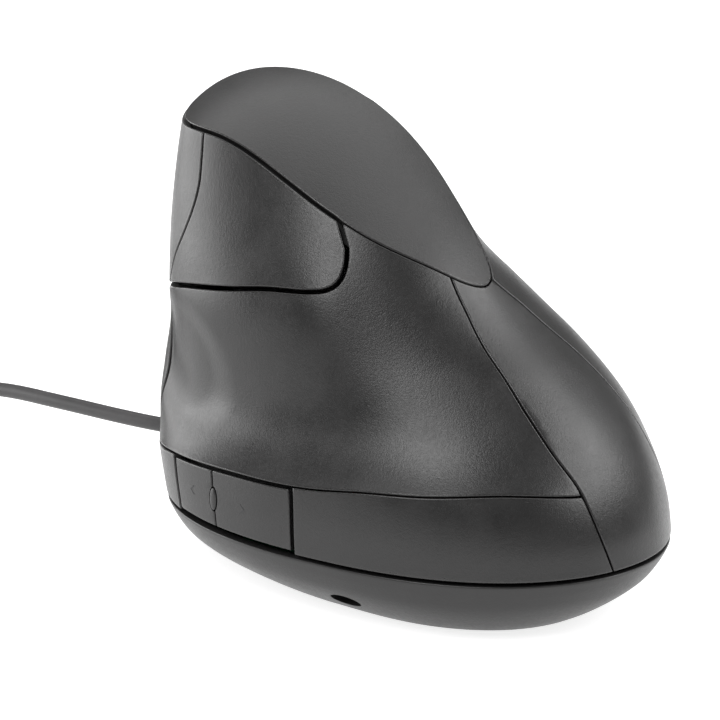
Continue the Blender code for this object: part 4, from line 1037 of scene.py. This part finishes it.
def thumb_keys():
    ends = zip(("front", "rear"), THUMB_KEYS, THUMB_KEYS[1:], MARK_ANGLES, (1, -1))
    for name, start, stop, mark_angle, points_to in ends:
        left = WIDE_GAP / 2 if start == THUMB_KEYS[0] else GAP / 2
        right = WIDE_GAP / 2 if stop == THUMB_KEYS[2] else GAP / 2
        top = part_of(CREASE, stop, start, 24)
        edges = [
            ([(start, top[-1][1]), (start, SEAM_Z)], left, SQUARE),
            ([(start, SEAM_Z), (stop, SEAM_Z)], KEY_GAP, SQUARE),
            ([(stop, SEAM_Z), top[0]], right, SQUARE),
            (top, KEY_GAP, AT_CREASE),
        ]
        room = prism("marker_room", oval(0, 0, 1.15, 2.35), -4, 3, skin_place(THUMB_KEYS[1], MARK_Z))
        body = "thumb_%s_key" % name
        key = panel("thumb_button_" + name, edges, body, KEY_LOOK, "button_plastic", cuts=(room,))
        smooth_by_angle(key, 30)
        place = skin_place(mark_angle, MARK_Z)
        w, h, thick = 1.0, 1.5, 0.17
        outline = [
            (-points_to * w / 2, 0), (points_to * w / 2, h / 2 + thick), (points_to * (w / 2 + thick), h / 2),
            (-points_to * (w / 2 - 1.7 * thick), 0), (points_to * (w / 2 + thick), -h / 2),
            (points_to * w / 2, -h / 2 - thick),
        ]
        chevron = prism("thumb_chevron_" + name, outline, -0.25, 0.035, place)
        finished(chevron, body, MARK_LOOK, "button_plastic")
    place = skin_place(THUMB_KEYS[1], MARK_Z)
    points, faces = rounded_box(0, 0, 0, (1, 1, 1), 2.0, rings=20, sides=40)
    points = [(0.86 * x, 2.05 * y, 0.32 * z if z > 0 else 1.2 * z) for x, y, z in points]
    pip = link("thumb_marker_pip", closed_mesh("thumb_marker_pip", points, faces, place))
    smooth_by_angle(pip, 60)
    finished(pip, "case", BASE_LOOK, "button_plastic", "thumb_marker")


def finger_side():
    half, wide = GAP / 2, WIDE_GAP / 2
    root, front = BUTTON_ROOT, BUTTON_FRONT
    low, high = WHEEL_BAND
    rear_right = meet(smooth(REAR_RIGHT, 60), REAR_RIGHT_TOP)
    wrap = [(p[0] + 360, p[1]) for p in smooth(THUMB_FRONT, 40)]
    crease = [(a + 360, z) for a, z in part_of(CREASE, THUMB_KEYS[0], 27, 30)]
    rim_root, rim_front = float(rim(np.array([root]))[0]), float(rim(np.array([front]))[0])
    edges = [
        (rear_right[::-1], half, SQUARE),
        ([(205, SEAM_Z), (360 + THUMB_KEYS[0], SEAM_Z)], 0, SQUARE),
        ([(360 + THUMB_KEYS[0], SEAM_Z), crease[0]], wide, SQUARE),
        (crease, half, AT_CREASE),
        (wrap[::-1], half, SQUARE),
        ([(384, 48.6), (360, 49.2), (front, 49.6)], half, SQUARE),
        ([(front, 49.6), (front, BAND_TOP)], wide / 2, SQUARE),
        ([(front, BAND_TOP), (root, BAND_TOP)], half, SQUARE),
        ([(root, BAND_TOP), (root, rim_root)], half, SQUARE),
        (rim_edge(root, REAR_RIGHT_TOP), half, AT_RIM),
    ]
    cord_way = prism("cord_way", oval(0, 0, 2.75, 2.75), -7, 7, NOSE)
    shell = panel("finger_side_shell", edges, "case", SHELL_LOOK, "shell_plastic", cuts=(cord_way,))
    smooth_by_angle(shell, 30)
    jag = [(a + 360, z) for a, z in meet(smooth(JAG, 40), CHEEK_TOP)]
    edges = [
        ([(front, 49.6), (360, 49.2), (383, 48.6)], half, SQUARE),
        ([(383, 48.6), jag[0]], wide, SQUARE),
        (jag, half, SQUARE),
        (rim_edge(360 + CHEEK_TOP, front), wide, AT_RIM),
        ([(front, rim_front), (front, 49.6)], half, SQUARE),
    ]
    panel("nose_strip", edges, "case", SHELL_LOOK, "shell_plastic")
    edges = [
        ([(root, high), (front, high)], KEY_GAP / 2, SQUARE),
        ([(front, high), (front, rim_front)], KEY_GAP, SQUARE),
        (rim_edge(front, root), 0.8, AT_RIM),
        ([(root, rim_root), (root, high)], GAP, SQUARE),
    ]
    panel("index_button", edges, "index_key", KEY_LOOK, "button_plastic")
    corners = [(root, low), (front, low), (front, high), (root, high), (root, low)]
    edges = [(corners[k : k + 2], half, SQUARE) for k in range(4)]
    slot = block("wheel_slot", (-9, -9.6, -3.3), (14, 12.2, 3.3), flank_places()[1])
    band = panel("wheel_surround", edges, "case", SHELL_LOOK, "shell_plastic", cuts=(slot,))
    smooth_by_angle(band, 30)
    edges = [
        ([(root, BAND_TOP), (front, BAND_TOP)], KEY_GAP / 2, SQUARE),
        ([(front, BAND_TOP), (front, low)], KEY_GAP, SQUARE),
        ([(front, low), (root, low)], KEY_GAP / 2, SQUARE),
        ([(root, low), (root, BAND_TOP)], half, SQUARE),
    ]
    panel("middle_button", edges, "middle_key", KEY_LOOK, "button_plastic")


def covers():
    half, wide = GAP / 2, WIDE_GAP / 2
    rear_left = meet(smooth(REAR_LEFT, 60), REAR_LEFT_TOP)
    rear_right = meet(smooth(REAR_RIGHT, 60), REAR_RIGHT_TOP)
    edges = [
        (rear_left[::-1], half, SQUARE),
        ([(162.4, SEAM_Z), (205, SEAM_Z)], 0, SQUARE),
        (rear_right, half, SQUARE),
        (rim_edge(REAR_RIGHT_TOP, REAR_LEFT_TOP), half, AT_RIM),
    ]
    panel("rear_cover", edges, "case", SHELL_LOOK, "shell_plastic")
    edges = []
    for start, stop, gap in ((0, 118, wide), (118, 255, half), (255, 360, wide)):
        angles = np.linspace(start, stop, 200)
        x, y = outline_point(angles, rim(angles))
        edges.append((np.stack([x, y], 1), gap, AT_RIM))
    panel("top_cover", edges, "case", SHELL_LOOK, "shell_plastic", cap, skin_normal, 1.0)


def strip(name, rows, material, slot):
    """A closed rib through rows of points, one row for each station."""
    points = [p for row in rows for p in row]
    o = link(name, closed_mesh(name, points, loft_faces(len(rows[0]), len(rows))))
    smooth_by_angle(o, 35)
    return finished(o, "case", material, slot)


def inner_lips():
    """Ribs behind the gaps under the top cover's thumb-side edge and above the thumb keys, coloured near black
    as painted shade seen through the gaps.
    """
    deep = SHELL + 0.3
    angles = np.arange(16, 164, 1.5)
    high = np.stack([angles, rim(angles)], 1)
    edge, side_n = plain(high), normals(plain, high)
    top_n = normals(cap, edge[:, :2])
    apex = edge - deep * (side_n + top_n) / (1 + np.sum(side_n * top_n, axis=1))[:, None]
    low = high - [0, 3.2]
    wall = plain(low) - normals(plain, low) * (deep + hollow(low))[:, None]
    level = side_n[:, :2] / np.linalg.norm(side_n[:, :2], axis=1)[:, None]
    inward = edge[:, :2] - 3.4 * level
    roof = cap(inward) - deep * normals(cap, inward)
    strip("top_cover_lip", list(zip(apex, wall, (wall + roof) / 2, roof)), LIP_SHADE_LOOK, "shell_plastic")
    angles = np.arange(THUMB_KEYS[0] - 1.0, THUMB_KEYS[2] + 1.5, 1.0)
    rows = []
    for rise, depth in ((2.0, 3.6), (-2.2, 3.3), (-2.2, 4.0), (2.0, 4.3)):
        uv = np.stack([angles, curve(CREASE, angles) + rise], 1)
        rows.append(plain(uv) - normals(plain, uv) * (depth + hollow(uv))[:, None])
    strip("thumb_rest_lip", list(zip(*rows)), LIP_SHADE_LOOK, "shell_plastic")


def bowl_ring(angles, z, share, extra):
    x, y = outline_point(angles, np.full(len(angles), 12.0))
    out = normals(plain, np.stack([angles, np.full(len(angles), 14.0)], 1))[:, :2]
    out /= np.linalg.norm(out, axis=1)[:, None]
    inset = curve(BOWL_INSET, angles % 360) * share + extra
    return [(px - n[0] * i, py - n[1] * i, z) for px, py, n, i in zip(x, y, out, inset)]


def base_bowl():
    angles = np.arange(BOWL_SIDES) * 360.0 / BOWL_SIDES
    heights = np.concatenate([[0.6, 0.64, 0.75, 0.95], np.linspace(1.3, 11.3, 26), [11.5, 11.62]])
    rings = []
    for z in heights:
        share = float(curve(BOWL[::-1], z))
        turn_in = 0.25 * max(0.0, (z - 11.3) / 0.35) ** 2
        tuck = 0.35 * max(0.0, (0.95 - z) / 0.35) ** 2
        rings.append(bowl_ring(angles, z, share, turn_in + tuck))
    rings.append(bowl_ring(angles, 11.7, 0.0, 0.5))
    inner = [(11.7, 0.0), (9.0, 0.1), (6.2, 0.26), (4.2, 0.46), (FLOOR_TOP, 0.72)]
    rings += [bowl_ring(angles, z, share, BOWL_WALL) for z, share in inner]
    points = [p for ring in rings for p in ring]
    bowl = link("base_bowl", closed_mesh("base_bowl", points, loft_faces(BOWL_SIDES, len(rings))))
    for k, (x, y) in enumerate(BOARD_POSTS):
        post = [(0, 2.0), (2.6, 2.0), (2.6, BOARD_Z[0] - GAP), (1.3, BOARD_Z[0] - GAP), (1.3, 3.4), (0, 3.4)]
        boolean(bowl, turned("post_%d" % k, post, x=x, y=y, count=32), "UNION")
    for x, y in CASE_SCREWS:
        boolean(bowl, prism("boss", oval(x, y, 4.4, 4.4), 2.0, 5.0), "UNION")
        stepped = [(0, 0), (3.1, 0), (3.1, 2.7), (1.4, 2.7), (1.4, 6), (0, 6)]
        boolean(bowl, turned("counterbore", stepped, x=x, y=y, count=48))
    for x, y, rx, ry in FEET.values():
        boolean(bowl, prism("pocket", oval(x, y, rx + GAP, ry + GAP, 64), -1, 1.1))
    x, y = LENS_HOLE
    boolean(bowl, prism("lens_hole", rounded_rect(x, y, 5, 6.5, 1.5), -1, 4))
    out = np.array([-0.84, 0, -0.54])
    out /= np.linalg.norm(out)
    ahead = np.array([0.0, 1, 0])
    place = place_at((-35.4, -3.5, 4.6), ahead, np.cross(out, ahead), out)
    boolean(bowl, prism("dpi_opening", oval(0, 0, 3.1, 1.75), -4.5, 4, place))
    smooth_by_angle(bowl, 32)
    finished(bowl, "case", BASE_LOOK, "shell_plastic", "base")


def rounded_rect(x, y, half_x, half_y, r, steps=6):
    out = []
    for cx, cy, start in ((1, 1, 0), (-1, 1, 90), (-1, -1, 180), (1, -1, 270)):
        for k in range(steps + 1):
            t = math.radians(start + 90 * k / steps)
            out.append((x + cx * (half_x - r) + r * math.cos(t), y + cy * (half_y - r) + r * math.sin(t)))
    return out


def glide_feet():
    """Low-friction pads with a rounded edge."""
    for name, (x, y, rx, ry) in FEET.items():
        count, levels = 96, ((0.25, 0.0), (0.09, 0.05), (0.0, 0.18), (0.0, 0.75), (0.08, 0.8))
        points = [p + (z,) for inset, z in levels for p in oval(x, y, rx - inset, ry - inset, count)]
        o = link(name + "_pad", closed_mesh(name + "_pad", points, loft_faces(count, len(levels))))
        smooth_by_angle(o, 40)
        finished(o, "case", FOOT_LOOK, "glide_foot", name)


def wheel_tyre():
    """A rubber tyre with fine ribs across its tread."""
    place = flank_places()[1]
    profile = [
        (8.3, -2.4), (9.6, -2.55), (10.25, -2.45), (10.6, -2.1), (10.78, -1.5), (10.85, 0), (10.78, 1.5),
        (10.6, 2.1), (10.25, 2.45), (9.6, 2.55), (8.3, 2.4),
    ]
    ribs, per = 40, 8
    count = ribs * per
    points, faces = [], []
    for k in range(count):
        t = 2 * math.pi * k / count
        ridge = 0.5 - 0.5 * math.cos(ribs * t)
        for r, z in profile:
            tread = max(0.0, (r - 10.2) / 0.65)
            radius = r - 0.45 * tread * (1 - ridge**0.6)
            points.append((radius * math.cos(t), radius * math.sin(t), z))
    n = len(profile)
    for k in range(count):
        a, b = k * n, ((k + 1) % count) * n
        faces += [(a + i, b + i, b + (i + 1) % n, a + (i + 1) % n) for i in range(n)]
    o = link("wheel_tyre_ribbed", closed_mesh("wheel_tyre_ribbed", points, faces, place))
    smooth_by_angle(o, 40)
    finished(o, "wheel", LOOKS["wheel_rubber"], "wheel_rubber", "wheel_tyre")


def dress_nodes():
    """Gives every carried CAD node its procedural material, by the record's slot for it."""
    slots = {part["node"]: part["material_slot"] for part in frame["record"]["subparts"]}
    for name, o in frame["nodes"].items():
        o.data.materials.clear()
        o.data.materials.append(LOOKS[slots[name]])


camera()
studio()
cord()
thumb_side()
thumb_keys()
finger_side()
covers()
inner_lips()
base_bowl()
glide_feet()
wheel_tyre()
dress_nodes()
